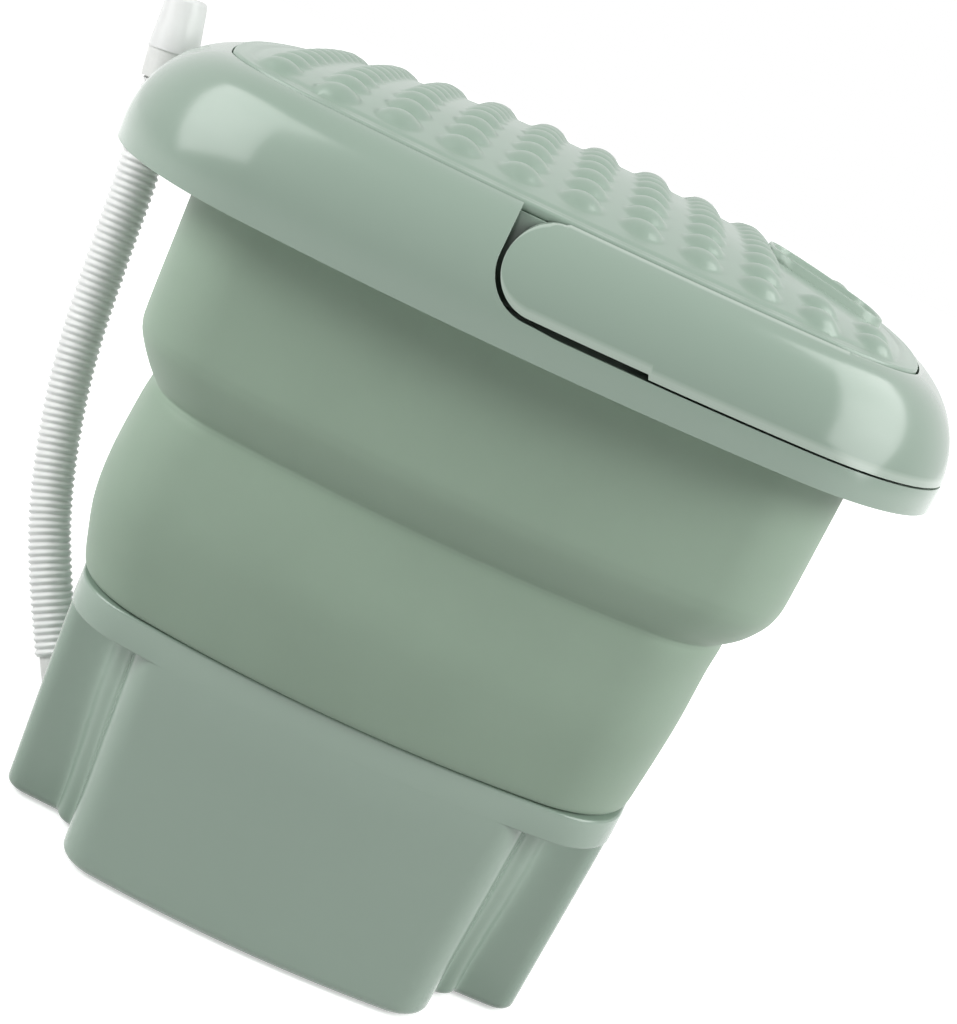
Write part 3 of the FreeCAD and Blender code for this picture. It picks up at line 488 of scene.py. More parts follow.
def base_reach(z, inset, bearings):
    """Outline of the base's crossed blocks at a height, flush with the flange where they reach it."""
    share = (z - BASE_LOW[2]) / (SEAM_Z - BASE_LOW[2])
    lean = BASE_LEAN * share
    softness = COVE_SOFT[0] + (COVE_SOFT[1] - COVE_SOFT[0]) * smooth_step(share, *COVE_SPAN)
    blocks = []
    for half_x, half_y, corner, flat in (PANEL, LOBE, COLUMN):
        lean_y = PANEL_LEAN * share if half_y > half_x else lean
        blocks.append(reach(half_x + lean - inset, half_y + lean_y - inset, corner, flat, bearings))
    flange = reach(FLANGE_X, FLANGE_Y, FLANGE_CORNER, FLANGE_FLAT, bearings)
    short = flange - soft_most(blocks, softness)
    ramp = np.clip(short + FLUSH_W, 0, 2 * FLUSH_W) ** 2 / (4 * FLUSH_W)
    return flange - np.maximum(ramp, short)


def polar_ring(radius, z, bearings):
    """Level ring of points at a distance in each bearing."""
    far = np.broadcast_to(radius, bearings.shape)
    return np.stack([far * np.cos(bearings), far * np.sin(bearings), np.full(bearings.shape, z)], axis=-1)


def quarter(steps):
    """Turns of a quarter circle from flat to upright."""
    return [math.pi / 2 * i / steps for i in range(steps + 1)]


class WASHER_OT_base(Operator):
    """Rounded base shell with its coves, lobes and flange"""

    bl_idname = "washer.base"
    bl_label = "Base shell"

    def execute(self, context):
        bearings = all_round(BASE_COLUMNS)
        flange = reach(FLANGE_X, FLANGE_Y, FLANGE_CORNER, FLANGE_FLAT, bearings)
        foot = BASE_LOW[2] - SKIRT_DROP
        rings = []
        for t in quarter(7):
            z = foot + FOOT_ROUND * (1 - math.cos(t))
            rings.append(polar_ring(base_reach(z, FOOT_ROUND * (1 - math.sin(t)), bearings), z, bearings))
        for z in np.linspace(foot + FOOT_ROUND, FLANGE_Z - FLANGE_TUCK, BASE_RINGS)[1:]:
            rings.append(polar_ring(base_reach(z, 0, bearings), z, bearings))
        under = base_reach(FLANGE_Z, 0, bearings)
        edge = np.minimum(FLANGE_EDGE, (flange - under) / 2)
        rings.append(polar_ring(under, FLANGE_Z, bearings))
        for t in quarter(3):
            rings.append(polar_ring(flange - edge * (1 - math.sin(t)),
                                    FLANGE_Z + 2 * FLANGE_EDGE * (1 - math.cos(t)), bearings))
        for t in quarter(4):
            rings.append(polar_ring(flange - DECK_ROUND * (1 - math.cos(t)),
                                    SEAM_Z - DECK_ROUND * (1 - math.sin(t)), bearings))
        rings.append(polar_ring(DECK_HOLE, SEAM_Z, bearings))
        rings.append(polar_ring(DECK_HOLE, SEAM_Z - DECK_T, bearings))
        for z in (SEAM_Z - DECK_T, foot + FOOT_ROUND):
            rings.append(polar_ring(base_reach(z, 0, bearings) - WALL, z, bearings))
        rings.append(polar_ring(base_reach(foot, FOOT_ROUND, bearings) - WALL, foot, bearings))
        piece = add_loft("base_shell", rings, FINISHES["sage_shell"], wrap_rows=True)
        settle(piece, "base_body", "sage_shell", "base_housing")
        return {"FINISHED"}


# Tub wall: half-sizes, heights and sideways lean of its outside, from the seam to under the rim
TUB_CORNER = 46 * MM
TUB_COLUMNS = 420
TUB_STEPS = 8
RIPPLE = 0.35 * MM
RIPPLE_WAVES = 3
RIPPLE_TWIST = 60
TUB_LINE = [
    (133.0, 114.5, 123.2, -0.8),
    (136.4, 117.0, 126.0, -0.8),
    (138.6, 119.6, 138.0, -1.8),
    (140.8, 122.4, 155.0, -2.8),
    (141.4, 124.0, 172.0, -2.5),
    (140.4, 123.6, 195.0, -1.2),
    (139.8, 122.9, 207.0, 0.2),
    (139.2, 122.1, 211.6, 0.8),
    (139.3, 122.1, 213.4, 1.2),
    (141.2, 123.6, 215.4, 1.6),
    (145.6, 127.0, 220.6, 2.2),
    (150.4, 130.6, 228.4, 2.2),
    (152.9, 132.4, 235.0, 1.8),
    (153.6, 133.0, 244.0, 1.8),
    (153.7, 133.0, 275.0, 1.8),
    (153.7, 133.0, 299.0, 1.8),
]


class WASHER_OT_tub(Operator):
    """Soft two-tier tub wall between base and rim"""

    bl_idname = "washer.tub"
    bl_label = "Tub wall"

    def execute(self, context):
        sizes = context.scene.washer_tub
        spread = all_round(TUB_COLUMNS)
        line = spline(np.array(TUB_LINE) * MM, TUB_STEPS)
        turns = even_turns(*line[-1][:2], TUB_CORNER, TUB_COLUMNS)
        rings = []
        for inset, levels in ((0, line), (sizes.thickness, line[::-1])):
            for a, b, z, lean in levels:
                level = ring(a - inset, b - inset, TUB_CORNER - inset, z, turns)
                level[:, 0] += sizes.sway * lean
                share = (z - SEAM_Z) / (RIM_Z - SEAM_Z)
                wave = np.sin(RIPPLE_WAVES * spread + RIPPLE_TWIST * z)
                level[:, 1] += RIPPLE * wave * math.sin(math.pi * share)
                rings.append(level)
        piece = add_loft("tub_wall", rings, FINISHES["soft_tub"], wrap_rows=True, crisp=60)
        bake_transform(piece)
        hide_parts("bellows")
        return {"FINISHED"}


# Rim: columns stand upright near the middle of the front and back, where the cover ends
NEAR_X = 40 * MM
FAR_X = 85 * MM
CUT_X = 70 * MM
BAND_BLEND = 15 * MM
SEAT_X = BEAD_X - 3 * MM
SEAT_Y = BEAD_Y - 3 * MM
MOUTH_X = SEAT_X - 18 * MM
MOUTH_Y = SEAT_Y - 12 * MM
COVER_GAP = 0.6 * MM
HANDLE_GAP = 1 * MM
HANDLE_STEP_X = 49 * MM
HANDLE_STEP = 1.8 * MM
STEP_SLOPE = 0.4 * MM
END_START = math.radians(4)
SEAT_LAP = 0.2 * MM
SEAT_DROP = 0.1 * MM
COVER_EDGE = 0.7 * MM
SEAT_EDGE = 0.5 * MM
HANDLE_EDGE = 0.8 * MM
SMALL = 0.001 * MM
BEND_STEPS = 18
FRONT_STEPS = 24
SIDE_STEPS = 180
BAND_ROWS = 16
COVER_ROWS = 18
SEAT_COLUMNS = 480
HANDLE_BEND_STEPS = 20
HANDLE_TIP_STEPS = 6
HANDLE_SIDE_STEPS = 170
HANDLE_ROWS = 22
HANDLE_BACK_ROWS = 8
SWEEP_STEPS = 80


def dome_half(rise):
    """Half-sizes of the rim's domed side at a turn of its rise, flat at 0."""
    return RIM_X - DOME_ROUND_X * (1 - np.cos(rise)), RIM_Y - DOME_ROUND_Y * (1 - np.cos(rise))


def rise_at(z):
    """Turn of the dome's rise at a height."""
    return np.arcsin(np.clip((np.asarray(z, float) - DOME_Z) / DOME_H, 0, 1))


def upright_columns(a, b, turns):
    """Points of a rim oval, moved to stand over the rim's own foot near the front and back middles."""
    x, y = oval(a, b, RIM_CORNER - RIM_X + a, turns)
    foot_x = oval(RIM_X, RIM_Y, RIM_CORNER, turns)[0]
    near = 1 - smooth_step(np.abs(foot_x), NEAR_X, FAR_X)
    front = oval_radii(a, b, RIM_CORNER - RIM_X + a)[0]
    near_x = x + (foot_x - x) * near
    near_y = np.sign(y) * (b - front + np.sqrt(np.maximum(front ** 2 - near_x ** 2, 0)))
    return np.where(near > 0, near_x, x), np.where(near > 0, near_y, y)


def dome_row(turns, z):
    """Row of points on the rim's domed side at heights given for each direction."""
    level = np.broadcast_to(z, turns.shape)
    a, b = dome_half(rise_at(level))
    x, y = upright_columns(a, b, turns)
    return np.stack([x, y, level], axis=-1)


def dome_meets(a, b, turns):
    """Height at which the domed side comes in to an inner oval, for each direction."""
    sweep = np.linspace(0, DOME_SWEEP, SWEEP_STEPS)
    nx = np.cos(turns)
    ny = np.sin(turns)
    x, y = oval(a, b, RIM_CORNER - RIM_X + a, turns)
    want = x * nx + y * ny
    have = []
    for rise in sweep:
        half_x, half_y = dome_half(rise)
        x, y = oval(half_x, half_y, RIM_CORNER - RIM_X + half_x, turns)
        have.append(x * nx + y * ny)
    have = np.array(have)
    rise = np.array([np.interp(-want[c], -have[:, c], sweep) for c in range(len(turns))])
    return DOME_Z + DOME_H * np.sin(rise)


def front_turns(places):
    """Directions of the rim's front arc at places along X, and of its back arc in reverse order."""
    radius = oval_radii(RIM_X, RIM_Y, RIM_CORNER)[0]
    lean = np.arcsin(np.asarray(places) / radius)
    return lean - math.pi / 2, (math.pi / 2 - lean)[::-1]


def round_edges(piece, width):
    """Round the piece's crisp edges by a small bevel."""
    bevel = piece.modifiers.new("Rounded edges", "BEVEL")
    bevel.width = width
    bevel.segments = 2
    bevel.limit_method = "ANGLE"
    bevel.angle_limit = math.radians(40)
    bevel.harden_normals = True


def cover_columns():
    """Directions round the rim with columns on the cover's cut, and the height of the lower patch."""
    bend = np.linspace(0, math.pi / 2, BEND_STEPS)
    places = np.concatenate([
        np.linspace(-CUT_X, -HANDLE_ROOM, BEND_STEPS)[:-1],
        -HANDLE_ROOM * np.cos(bend),
        np.linspace(0, CUT_X, FRONT_STEPS)[1:],
    ])
    front, back = front_turns(places)
    right = np.linspace(front[-1], back[0], SIDE_STEPS)[1:-1]
    left = np.linspace(back[-1], front[0] + FULL_TURN, SIDE_STEPS)[1:-1]
    turns = np.concatenate([front, right, back, left])
    foot_x = oval(RIM_X, RIM_Y, RIM_CORNER, turns)[0]
    cut = np.sqrt(np.maximum(HANDLE_ROOM ** 2 - np.clip(foot_x, -HANDLE_ROOM, 0) ** 2, 0))
    step = PIVOT_Z - HANDLE_ROOM - BAND_TOP
    flat = BAND_TOP + step * (1 - smooth_step(foot_x, 0, BAND_BLEND))
    top = np.where(foot_x < 0, PIVOT_Z - cut, flat)
    on_left = foot_x <= -HANDLE_ROOM + SMALL
    return turns, top, on_left


class WASHER_OT_rim(Operator):
    """Rim cover, band and lid seat"""

    bl_idname = "washer.rim"
    bl_label = "Rim"

    def execute(self, context):
        turns, top, on_left = cover_columns()
        shares = np.linspace(0, 1, BAND_ROWS)
        points = np.array([dome_row(turns, RIM_Z + (top - RIM_Z) * share) for share in shares])
        faces = quads(points.shape[0], points.shape[1])
        first = int(np.argmax(on_left & ~np.roll(on_left, 1)))
        order = np.roll(np.arange(len(turns)), -first)
        order = order[on_left[order]]
        left = turns[order]
        meet = dome_meets(BEAD_X + COVER_GAP, BEAD_Y + COVER_GAP, left)
        low_rise = rise_at(PIVOT_Z)
        upper = []
        for share in np.linspace(0, 1, COVER_ROWS):
            rise = low_rise + (rise_at(meet) - low_rise) * share
            upper.append(dome_row(left, DOME_Z + DOME_H * np.sin(rise)))
        grid = np.array(upper)
        faces += quads(grid.shape[0], grid.shape[1], wrap_cols=False, start=BAND_ROWS * len(turns))
        every = np.concatenate([points.reshape(-1, 3), grid.reshape(-1, 3)])
        cover = add_piece("rim_cover", every, faces, FINISHES["sage_shell"])
        shell = cover.modifiers.new("Wall", "SOLIDIFY")
        shell.thickness = WALL
        shell.offset = -1
        round_edges(cover, COVER_EDGE)
        settle(cover, "rim_body", "sage_shell", "rim")

        round_turns = all_round(SEAT_COLUMNS)
        out_x = RIM_X - WALL + SEAT_LAP
        out_y = RIM_Y - WALL + SEAT_LAP
        seat = [
            (out_x, out_y, BAND_TOP - SEAT_LAP),
            (BEAD_X, BEAD_Y, BAND_TOP - SEAT_LAP),
            (BEAD_X, BEAD_Y, SEAT_TOP - SEAT_DROP),
            (SEAT_X, SEAT_Y, SEAT_TOP - SEAT_DROP),
            (SEAT_X, SEAT_Y, LEDGE_Z),
            (MOUTH_X, MOUTH_Y, LEDGE_Z),
            (MOUTH_X, MOUTH_Y, RIM_Z),
            (MOUTH_X + WALL, MOUTH_Y + WALL, RIM_Z),
            (MOUTH_X + WALL, MOUTH_Y + WALL, LEDGE_Z - WALL),
            (SEAT_X - WALL, SEAT_Y - WALL, LEDGE_Z - WALL),
            (SEAT_X - WALL, SEAT_Y - WALL, BAND_TOP - WALL),
            (out_x, out_y, BAND_TOP - WALL),
        ]
        rings = [rim_ring(a, b, z, round_turns) for a, b, z in seat]
        inside = add_loft("rim_seat", rings, FINISHES["sage_shell"], wrap_rows=True)
        round_edges(inside, SEAT_EDGE)
        settle(inside, "rim_body", "sage_shell")
        return {"FINISHED"}


class WASHER_OT_handle(Operator):
    """Bail handle with round ends"""

    bl_idname = "washer.handle"
    bl_label = "Handle"

    def execute(self, context):
        bend = np.linspace(END_START, math.pi / 2, HANDLE_BEND_STEPS)
        places = np.concatenate([
            -HANDLE_END_R * np.cos(bend),
            np.linspace(0, HANDLE_STEP_X - STEP_SLOPE, FRONT_STEPS)[1:],
            np.linspace(HANDLE_STEP_X + STEP_SLOPE, CUT_X, HANDLE_TIP_STEPS),
        ])
        front, back = front_turns(places)
        right = np.linspace(front[-1], back[0], HANDLE_SIDE_STEPS)[1:-1]
        turns = np.concatenate([front, right, back])
        foot_x = oval(RIM_X, RIM_Y, RIM_CORNER, turns)[0]
        in_x = BEAD_X + HANDLE_GAP
        in_y = BEAD_Y + HANDLE_GAP
        half = np.sqrt(np.maximum(HANDLE_END_R ** 2 - np.clip(foot_x, -HANDLE_END_R, 0) ** 2, 0))
        low = np.where(foot_x < HANDLE_STEP_X, PIVOT_Z - half, HANDLE_LOW - HANDLE_STEP)
        meet = dome_meets(in_x, in_y, turns)
        high = np.where(foot_x < 0, np.minimum(PIVOT_Z + half, meet), meet)
        low_rise = rise_at(low)
        high_rise = rise_at(high)
        rings = []
        for share in np.linspace(0, 1, HANDLE_ROWS):
            rise = low_rise + (high_rise - low_rise) * share
            rings.append(dome_row(turns, DOME_Z + DOME_H * np.sin(rise)))
        x, y = upright_columns(in_x, in_y, turns)
        for share in np.linspace(1, 0, HANDLE_BACK_ROWS):
            rings.append(np.stack([x, y, low + (high - low) * share], axis=-1))
        grid = np.array(rings)
        rows, cols = grid.shape[:2]
        faces = quads(rows, cols, wrap_rows=True, wrap_cols=False)
        faces.append(tuple(r * cols for r in range(rows)))
        faces.append(tuple(r * cols + cols - 1 for r in range(rows))[::-1])
        piece = add_piece("handle_bail", grid.reshape(-1, 3), faces, FINISHES["sage_shell"])
        round_edges(piece, HANDLE_EDGE)
        settle(piece, "handle_body", "sage_shell", "carry_handle")
        return {"FINISHED"}


# Lid: dome over an oval edge, with rows of bumps and a walled finger well
LID_EDGE_Z = SEAT_TOP + 4 * MM
LID_RISE = 16.4 * MM
LID_T = 2.5 * MM
SKIRT_GAP = 0.5 * MM
SKIRT_Z = SEAT_TOP - 9 * MM
BUMP_ROWS = 5
BUMP_ROW_PITCH = 25.5 * MM
BUMP_PITCH = 18.4 * MM
BUMP_END_IN = 11 * MM
BUMP_END_BOW = 1.3
BUMP_MARGIN = 14 * MM
BUMP_CLEAR = 38 * MM
WELL_X = 112 * MM
WELL = (29 * MM, 28 * MM, 14 * MM)
WELL_RINGS = ((0, -2), (0, 3.0), (0.4, 3.6), (1.1, 3.8), (1.8, 3.6), (2.2, 3.0), (2.2, -2))
BEAD_FOOT = 0.5 * MM
BEAD_ROUND = 1.4 * MM
GROOVE_DEPTH = 0.9 * MM
GROOVE_SHARE = 0.962
GROOVE_WIDTH = 0.010
LID_COLUMNS = 640
LID_RINGS = 130
LID_UNDER_RINGS = 30
WELL_COLUMNS = 240


def lid_height(x, y):
    """Height of the lid's smooth dome."""
    edge = reach(SEAT_X, SEAT_Y, RIM_CORNER - RIM_X + SEAT_X, OVAL_FLAT, np.arctan2(y, x))
    return LID_EDGE_Z + LID_RISE * (1 - (x * x + y * y) / edge ** 2)


def bump_places():
    """Centres of the bumps: rows that run front to back, left out beside the finger well."""
    half = SEAT_X - BUMP_MARGIN
    edge_x, edge_y = oval(half, SEAT_Y - BUMP_MARGIN, RIM_CORNER - RIM_X + half,
                          np.linspace(math.pi / 2, 0, PLAN_SAMPLES))
    places = []
    for row in range(-BUMP_ROWS, BUMP_ROWS + 1):
        x = row * BUMP_ROW_PITCH
        bow = BUMP_END_BOW * (row / BUMP_ROWS) ** 2
        span = np.interp(abs(x), edge_x, edge_y) - BUMP_END_IN * (1 - bow)
        for y in np.linspace(-span, span, round(2 * span / BUMP_PITCH) + 1):
            if x < WELL_X - WELL[0] or abs(y) > WELL[1] + BUMP_CLEAR:
                places.append((x, y))
    return np.array(places)


def bumped(level, settings):
    """Raise a ring of lid points over the bumps."""
    centres = bump_places()
    tops = lid_height(centres[:, 0], centres[:, 1]) - settings.bump_sink
    gap = np.hypot(level[:, None, 0] - centres[None, :, 0], level[:, None, 1] - centres[None, :, 1])
    cap = np.sqrt(np.maximum(settings.bump_radius ** 2 - gap ** 2, 0))
    cap -= 2 * np.maximum(gap - settings.bump_radius, 0)
    best = (tops[None, :] + cap).max(axis=1)
    return soft_most([level[:, 2], best], settings.bump_blend)


class WASHER_OT_lid(Operator):
    """Bumped lid with its bead, skirt and finger well"""

    bl_idname = "washer.lid"
    bl_label = "Lid"

    def execute(self, context):
        settings = context.scene.washer_lid
        turns = even_turns(SEAT_X, SEAT_Y, RIM_CORNER - RIM_X + SEAT_X, LID_COLUMNS)
        edge = rim_ring(SEAT_X, SEAT_Y, 0, turns)
        in_x = SEAT_X - SKIRT_GAP
        in_y = SEAT_Y - SKIRT_GAP
        inner = rim_ring(in_x - LID_T, in_y - LID_T, 0, turns)
        rings = []
        for share in np.linspace(0.03, 1, LID_UNDER_RINGS):
            level = inner * share
            level[:, 2] = LID_EDGE_Z - LID_T + LID_RISE * (1 - share ** 2)
            rings.append(level)
        rings.append(rim_ring(in_x - LID_T, in_y - LID_T, SKIRT_Z, turns))
        rings.append(rim_ring(in_x, in_y, SKIRT_Z, turns))
        rings.append(rim_ring(in_x, in_y, SEAT_TOP, turns))
        rings.append(rim_ring(BEAD_X - BEAD_FOOT, BEAD_Y - BEAD_FOOT, SEAT_TOP, turns))
        rings.append(rim_ring(BEAD_X, BEAD_Y, SEAT_TOP + BEAD_FOOT, turns))
        for t in quarter(5):
            inset = BEAD_ROUND * (1 - math.cos(t))
            rings.append(rim_ring(BEAD_X - inset, BEAD_Y - inset,
                                  LID_EDGE_Z - BEAD_ROUND * (1 - math.sin(t)), turns))
        for share in np.linspace(1, 0.006, LID_RINGS):
            level = edge * share
            groove = GROOVE_DEPTH * math.exp(-((share - GROOVE_SHARE) / GROOVE_WIDTH) ** 2)
            level[:, 2] = LID_EDGE_Z + LID_RISE * (1 - share ** 2) - groove
            level[:, 2] = bumped(level, settings)
            rings.append(level)
        under = (0, 0, LID_EDGE_Z - LID_T + LID_RISE)
        over = (0, 0, rings[-1][0, 2])
        piece = add_loft("lid_cover", rings, FINISHES["sage_lid"], poles=(under, over), crisp=50)
        settle(piece, "lid_body", "sage_shell", "lid")

        wall = []
        well_turns = all_round(WELL_COLUMNS)
        for inset, lift in WELL_RINGS:
            half_x, half_y, corner = (size - inset * MM for size in WELL)
            level = ring(half_x, half_y, corner, 0, well_turns, BLOCK_FLAT)
            level[:, 0] += WELL_X
            level[:, 2] = lid_height(level[:, 0], level[:, 1]) + lift * MM
            wall.append(level)
        well = add_loft("lid_finger_well", wall, FINISHES["sage_lid"], wrap_rows=True)
        settle(well, "lid_body", "sage_shell")
        return {"FINISHED"}


# Hose: a ribbed tube along a smooth route
HOSE_SIDES = 40
RIB_STEPS = 8
RIB_FULLNESS = 0.75
ROUTE_STEPS = 24
ROUTE_ORDER = 3
TURN_SMOOTHING = 12


def route_line(points):
    """Points along the smooth spline that a cord's route gives."""
    curve = bpy.data.curves.new("hose_route", "CURVE")
    curve.dimensions = "3D"
    curve.resolution_u = ROUTE_STEPS
    run = curve.splines.new("NURBS")
    run.points.add(len(points) - 1)
    for point, place in zip(run.points, points):
        point.co = (*place, 1)
    run.order_u = ROUTE_ORDER
    run.use_endpoint_u = True
    holder = bpy.data.objects.new("hose_route", curve)
    line = bpy.data.meshes.new_from_object(holder)
    found = np.array([tuple(v.co) for v in line.vertices])
    bpy.data.objects.remove(holder)
    bpy.data.curves.remove(curve)
    bpy.data.meshes.remove(line)
    return found


class WASHER_OT_hose(Operator):
    """Ribbed drain hose from the base up to its stopper"""

    bl_idname = "washer.hose"
    bl_label = "Drain hose"

    def execute(self, context):
        settings = context.scene.washer_hose
        line = route_line(HOSE_POINTS)
        steps = np.linalg.norm(np.diff(line, axis=0), axis=1)
        along = np.concatenate([[0], np.cumsum(steps)])
        length = along[-1]
        count = settings.ribs * RIB_STEPS
        stations = np.linspace(0, length, count + 1)
        middle = np.stack([np.interp(stations, along, line[:, k]) for k in range(3)], axis=-1)
        ahead = np.gradient(middle, axis=0)
        for _ in range(TURN_SMOOTHING):
            ahead[1:-1] = (ahead[:-2] + ahead[1:-1] + ahead[2:]) / 3
        ahead /= np.linalg.norm(ahead, axis=1)[:, None]
        side = np.cross(ahead, (0, 1, 0))
        side /= np.linalg.norm(side, axis=1)[:, None]
        lift = np.cross(side, ahead)
        phase = stations / length * settings.ribs
        swell = (0.5 - 0.5 * np.cos(FULL_TURN * phase)) ** RIB_FULLNESS
        radius = settings.groove + (settings.radius - settings.groove) * swell
        turns = all_round(HOSE_SIDES)
        across = np.cos(turns)[None, :, None]
        upward = np.sin(turns)[None, :, None]
        spokes = side[:, None] * across + lift[:, None] * upward
        rings = middle[:, None] + radius[:, None, None] * spokes
        piece = add_loft("hose_tube", rings, FINISHES["clear_hose"], poles=(middle[0], middle[-1]), crisp=75)
        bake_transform(piece)
        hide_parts("drain_hose")
        return {"FINISHED"}


class WASHER_OT_solids(Operator):
    """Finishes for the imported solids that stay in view"""

    bl_idname = "washer.solids"
    bl_label = "Packed solids"

    def execute(self, context):
        for part in frame["record"]["subparts"]:
            solid = frame["nodes"].get(part["node"])
            if solid is None:
                raise RuntimeError(f"no packed solid {part['node']}")
            for holder in solid.material_slots:
                holder.material = FINISHES[part["material_slot"]]
        return {"FINISHED"}


# Stage: white surroundings, lights that only shade and cards that only reflections see
FLOOR_HALF = 6.0
FLOOR_TONE = (0.86, 0.87, 0.86, 1)
FLOOR_DIM = (0.5, 0.5, 0.5, 1)
FLOOR_GLOW = {"From Min": 0.25, "From Max": 0.6, "To Min": 0.5}
WHITE = (1, 1, 1, 1)
SKY_SHADE = 0.3
SENSOR_WIDTH = 36
VIEW_FAR = 50
SIDE_LIGHTS = {"left_light": (-1.7, -0.66, 1.3), "right_light": (1.7, -0.66, 1.3)}
SIDE_SIZE = (0.9, 0.9)
TOP_PLACE = (0.0, -0.4, 2.0)
TOP_SIZE = (1.6, 1.2)
CARDS = {
    "left_card": ((-0.94, -0.41, 0.90), (0.56, -0.74, 0.30), (0.95, 1.15)),
    "right_card": ((0.83, -0.27, 0.86), (0.47, 0.46, -0.25), (0.70, 1.50)),
}
CARD_AIM = Vector((0, -0.13, 0.33))
AIM = Vector((0, 0, 0.2))


def pale_shader(tree, output, shade, white):
    """Show plain white to the camera and to mirror and glass rays, and a lit shade to all others."""
    rays = node(tree, "ShaderNodeLightPath")
    seen = node(tree, "ShaderNodeMath", operation="MAXIMUM")
    clear = node(tree, "ShaderNodeMath", operation="MAXIMUM")
    mix = node(tree, "ShaderNodeMixShader")
    tree.links.new(rays.outputs["Is Camera Ray"], seen.inputs[0])
    tree.links.new(rays.outputs["Is Glossy Ray"], seen.inputs[1])
    tree.links.new(seen.outputs[0], clear.inputs[0])
    tree.links.new(rays.outputs["Is Transmission Ray"], clear.inputs[1])
    tree.links.new(clear.outputs[0], mix.inputs["Fac"])
    tree.links.new(shade, mix.inputs[1])
    tree.links.new(white, mix.inputs[2])
    tree.links.new(mix.outputs[0], output.inputs["Surface"])


def softbox(name, place, size, power, aim=AIM, across=(1, 0, 0)):
    """Area light that looks at a point, with its width along a given direction."""
    lamp = bpy.data.lights.new(name, "AREA")
    lamp.shape = "RECTANGLE"
    lamp.size, lamp.size_y = size
    lamp.energy = power
    holder = bpy.data.objects.new(name, lamp)
    back = (Vector(place) - aim).normalized()
    wide = Vector(across)
    wide = (wide - back * wide.dot(back)).normalized()
    turn = Matrix((wide, back.cross(wide), back)).transposed()
    holder.matrix_world = Matrix.Translation(place) @ turn.to_4x4()
    bpy.context.collection.objects.link(holder)
    return holder


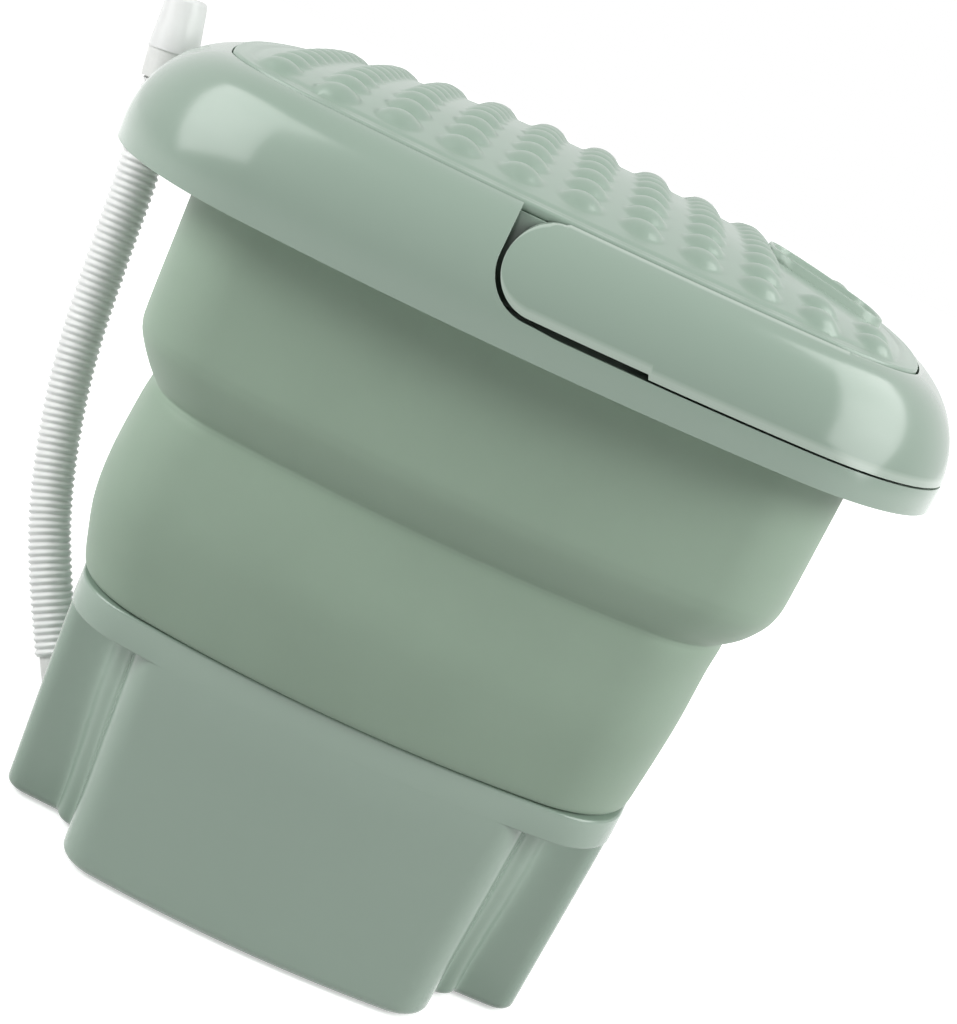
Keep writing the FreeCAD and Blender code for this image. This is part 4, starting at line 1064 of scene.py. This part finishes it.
class WASHER_OT_stage(Operator):
    """Floor, white surroundings, lights and camera"""

    bl_idname = "washer.stage"
    bl_label = "Stage"

    def execute(self, context):
        sizes = context.scene.washer_stage
        world = bpy.data.worlds.new("White studio")
        context.scene.world = world
        world.use_nodes = True
        tree = world.node_tree
        tree.nodes.clear()
        shade = node(tree, "ShaderNodeBackground", Color=WHITE, Strength=SKY_SHADE)
        white = node(tree, "ShaderNodeBackground", Color=WHITE, Strength=1.0)
        pale_shader(tree, node(tree, "ShaderNodeOutputWorld"), shade.outputs[0], white.outputs[0])

        paper = bpy.data.materials.new("Pale floor")
        paper.use_nodes = True
        tree = paper.node_tree
        tree.nodes.clear()
        matte = node(tree, "ShaderNodeBsdfDiffuse", Color=FLOOR_TONE)
        dim = node(tree, "ShaderNodeBsdfDiffuse", Color=FLOOR_DIM)
        glow = node(tree, "ShaderNodeEmission", Color=WHITE)
        places = node(tree, "ShaderNodeTexCoord")
        away = node(tree, "ShaderNodeVectorMath", operation="LENGTH")
        lift = node(tree, "ShaderNodeMapRange", **FLOOR_GLOW)
        tree.links.new(places.outputs["Object"], away.inputs[0])
        tree.links.new(away.outputs["Value"], lift.inputs["Value"])
        tree.links.new(lift.outputs["Result"], glow.inputs["Strength"])
        lifted = node(tree, "ShaderNodeAddShader")
        tree.links.new(matte.outputs[0], lifted.inputs[0])
        tree.links.new(glow.outputs[0], lifted.inputs[1])
        pale_shader(tree, node(tree, "ShaderNodeOutputMaterial"), dim.outputs[0], lifted.outputs[0])
        corners = [(x * FLOOR_HALF, y * FLOOR_HALF, 0) for x, y in ((-1, -1), (1, -1), (1, 1), (-1, 1))]
        floor = add_piece("studio_floor", corners, [(0, 1, 2, 3)], paper)

        for name, place in SIDE_LIGHTS.items():
            lamp = softbox(name, place, SIDE_SIZE, sizes.key, across=(-place[1], place[0], 0))
            lamp.visible_glossy = False
        softbox("top_light", TOP_PLACE, TOP_SIZE, sizes.top).visible_glossy = False
        for name, (place, across, size) in CARDS.items():
            card = softbox(name, place, size, sizes.cards, CARD_AIM, across)
            card.visible_diffuse = False
            card.visible_camera = False

        camera = bpy.data.cameras.new("photo_view")
        camera.sensor_fit = "HORIZONTAL"
        camera.sensor_width = SENSOR_WIDTH
        camera.lens = sizes.lens
        camera.clip_end = VIEW_FAR
        camera.dof.use_dof = False
        holder = bpy.data.objects.new("photo_view", camera)
        turn = Matrix.Rotation(-sizes.yaw, 4, "Z")
        tilt = Matrix.Rotation(math.pi / 2 - sizes.pitch, 4, "X")
        lean = Matrix.Rotation(sizes.roll, 4, "Z")
        holder.matrix_world = Matrix.Translation(sizes.eye) @ turn @ tilt @ lean
        context.collection.objects.link(holder)
        context.scene.camera = holder
        context.scene.view_settings.view_transform = "Standard"
        return {"FINISHED"}


class WASHER_PT_panel(Panel):
    """Lists the steps that build the washing machine"""

    bl_idname = "WASHER_PT_panel"
    bl_label = "Foldable washing machine"
    bl_space_type = "VIEW_3D"
    bl_region_type = "UI"
    bl_category = "Washer"

    def draw(self, context):
        for step in STEPS:
            self.layout.operator(step.bl_idname)
        for group in SETTINGS:
            settings = getattr(context.scene, group)
            for key in settings.__annotations__:
                self.layout.prop(settings, key)


STEPS = [WASHER_OT_solids, WASHER_OT_base, WASHER_OT_tub, WASHER_OT_rim, WASHER_OT_handle,
         WASHER_OT_lid, WASHER_OT_hose, WASHER_OT_stage]
SETTINGS = {
    "washer_finish": FinishSettings,
    "washer_tub": TubSettings,
    "washer_lid": LidSettings,
    "washer_hose": HoseSettings,
    "washer_stage": StageSettings,
}


def register():
    """Register the settings, the steps and the panel."""
    for cls in [*SETTINGS.values(), *STEPS, WASHER_PT_panel]:
        bpy.utils.register_class(cls)
    for name, group in SETTINGS.items():
        setattr(bpy.types.Scene, name, PointerProperty(type=group))


def unregister():
    """Take back what register added."""
    for name in SETTINGS:
        delattr(bpy.types.Scene, name)
    for cls in [WASHER_PT_panel, *reversed(STEPS), *SETTINGS.values()]:
        bpy.utils.unregister_class(cls)


def main():
    """Build every piece in order."""
    register()
    make_finishes()
    bpy.ops.washer.solids()
    bpy.ops.washer.base()
    bpy.ops.washer.tub()
    bpy.ops.washer.rim()
    bpy.ops.washer.handle()
    bpy.ops.washer.lid()
    bpy.ops.washer.hose()
    bpy.ops.washer.stage()


if __name__ == "__main__":
    main()
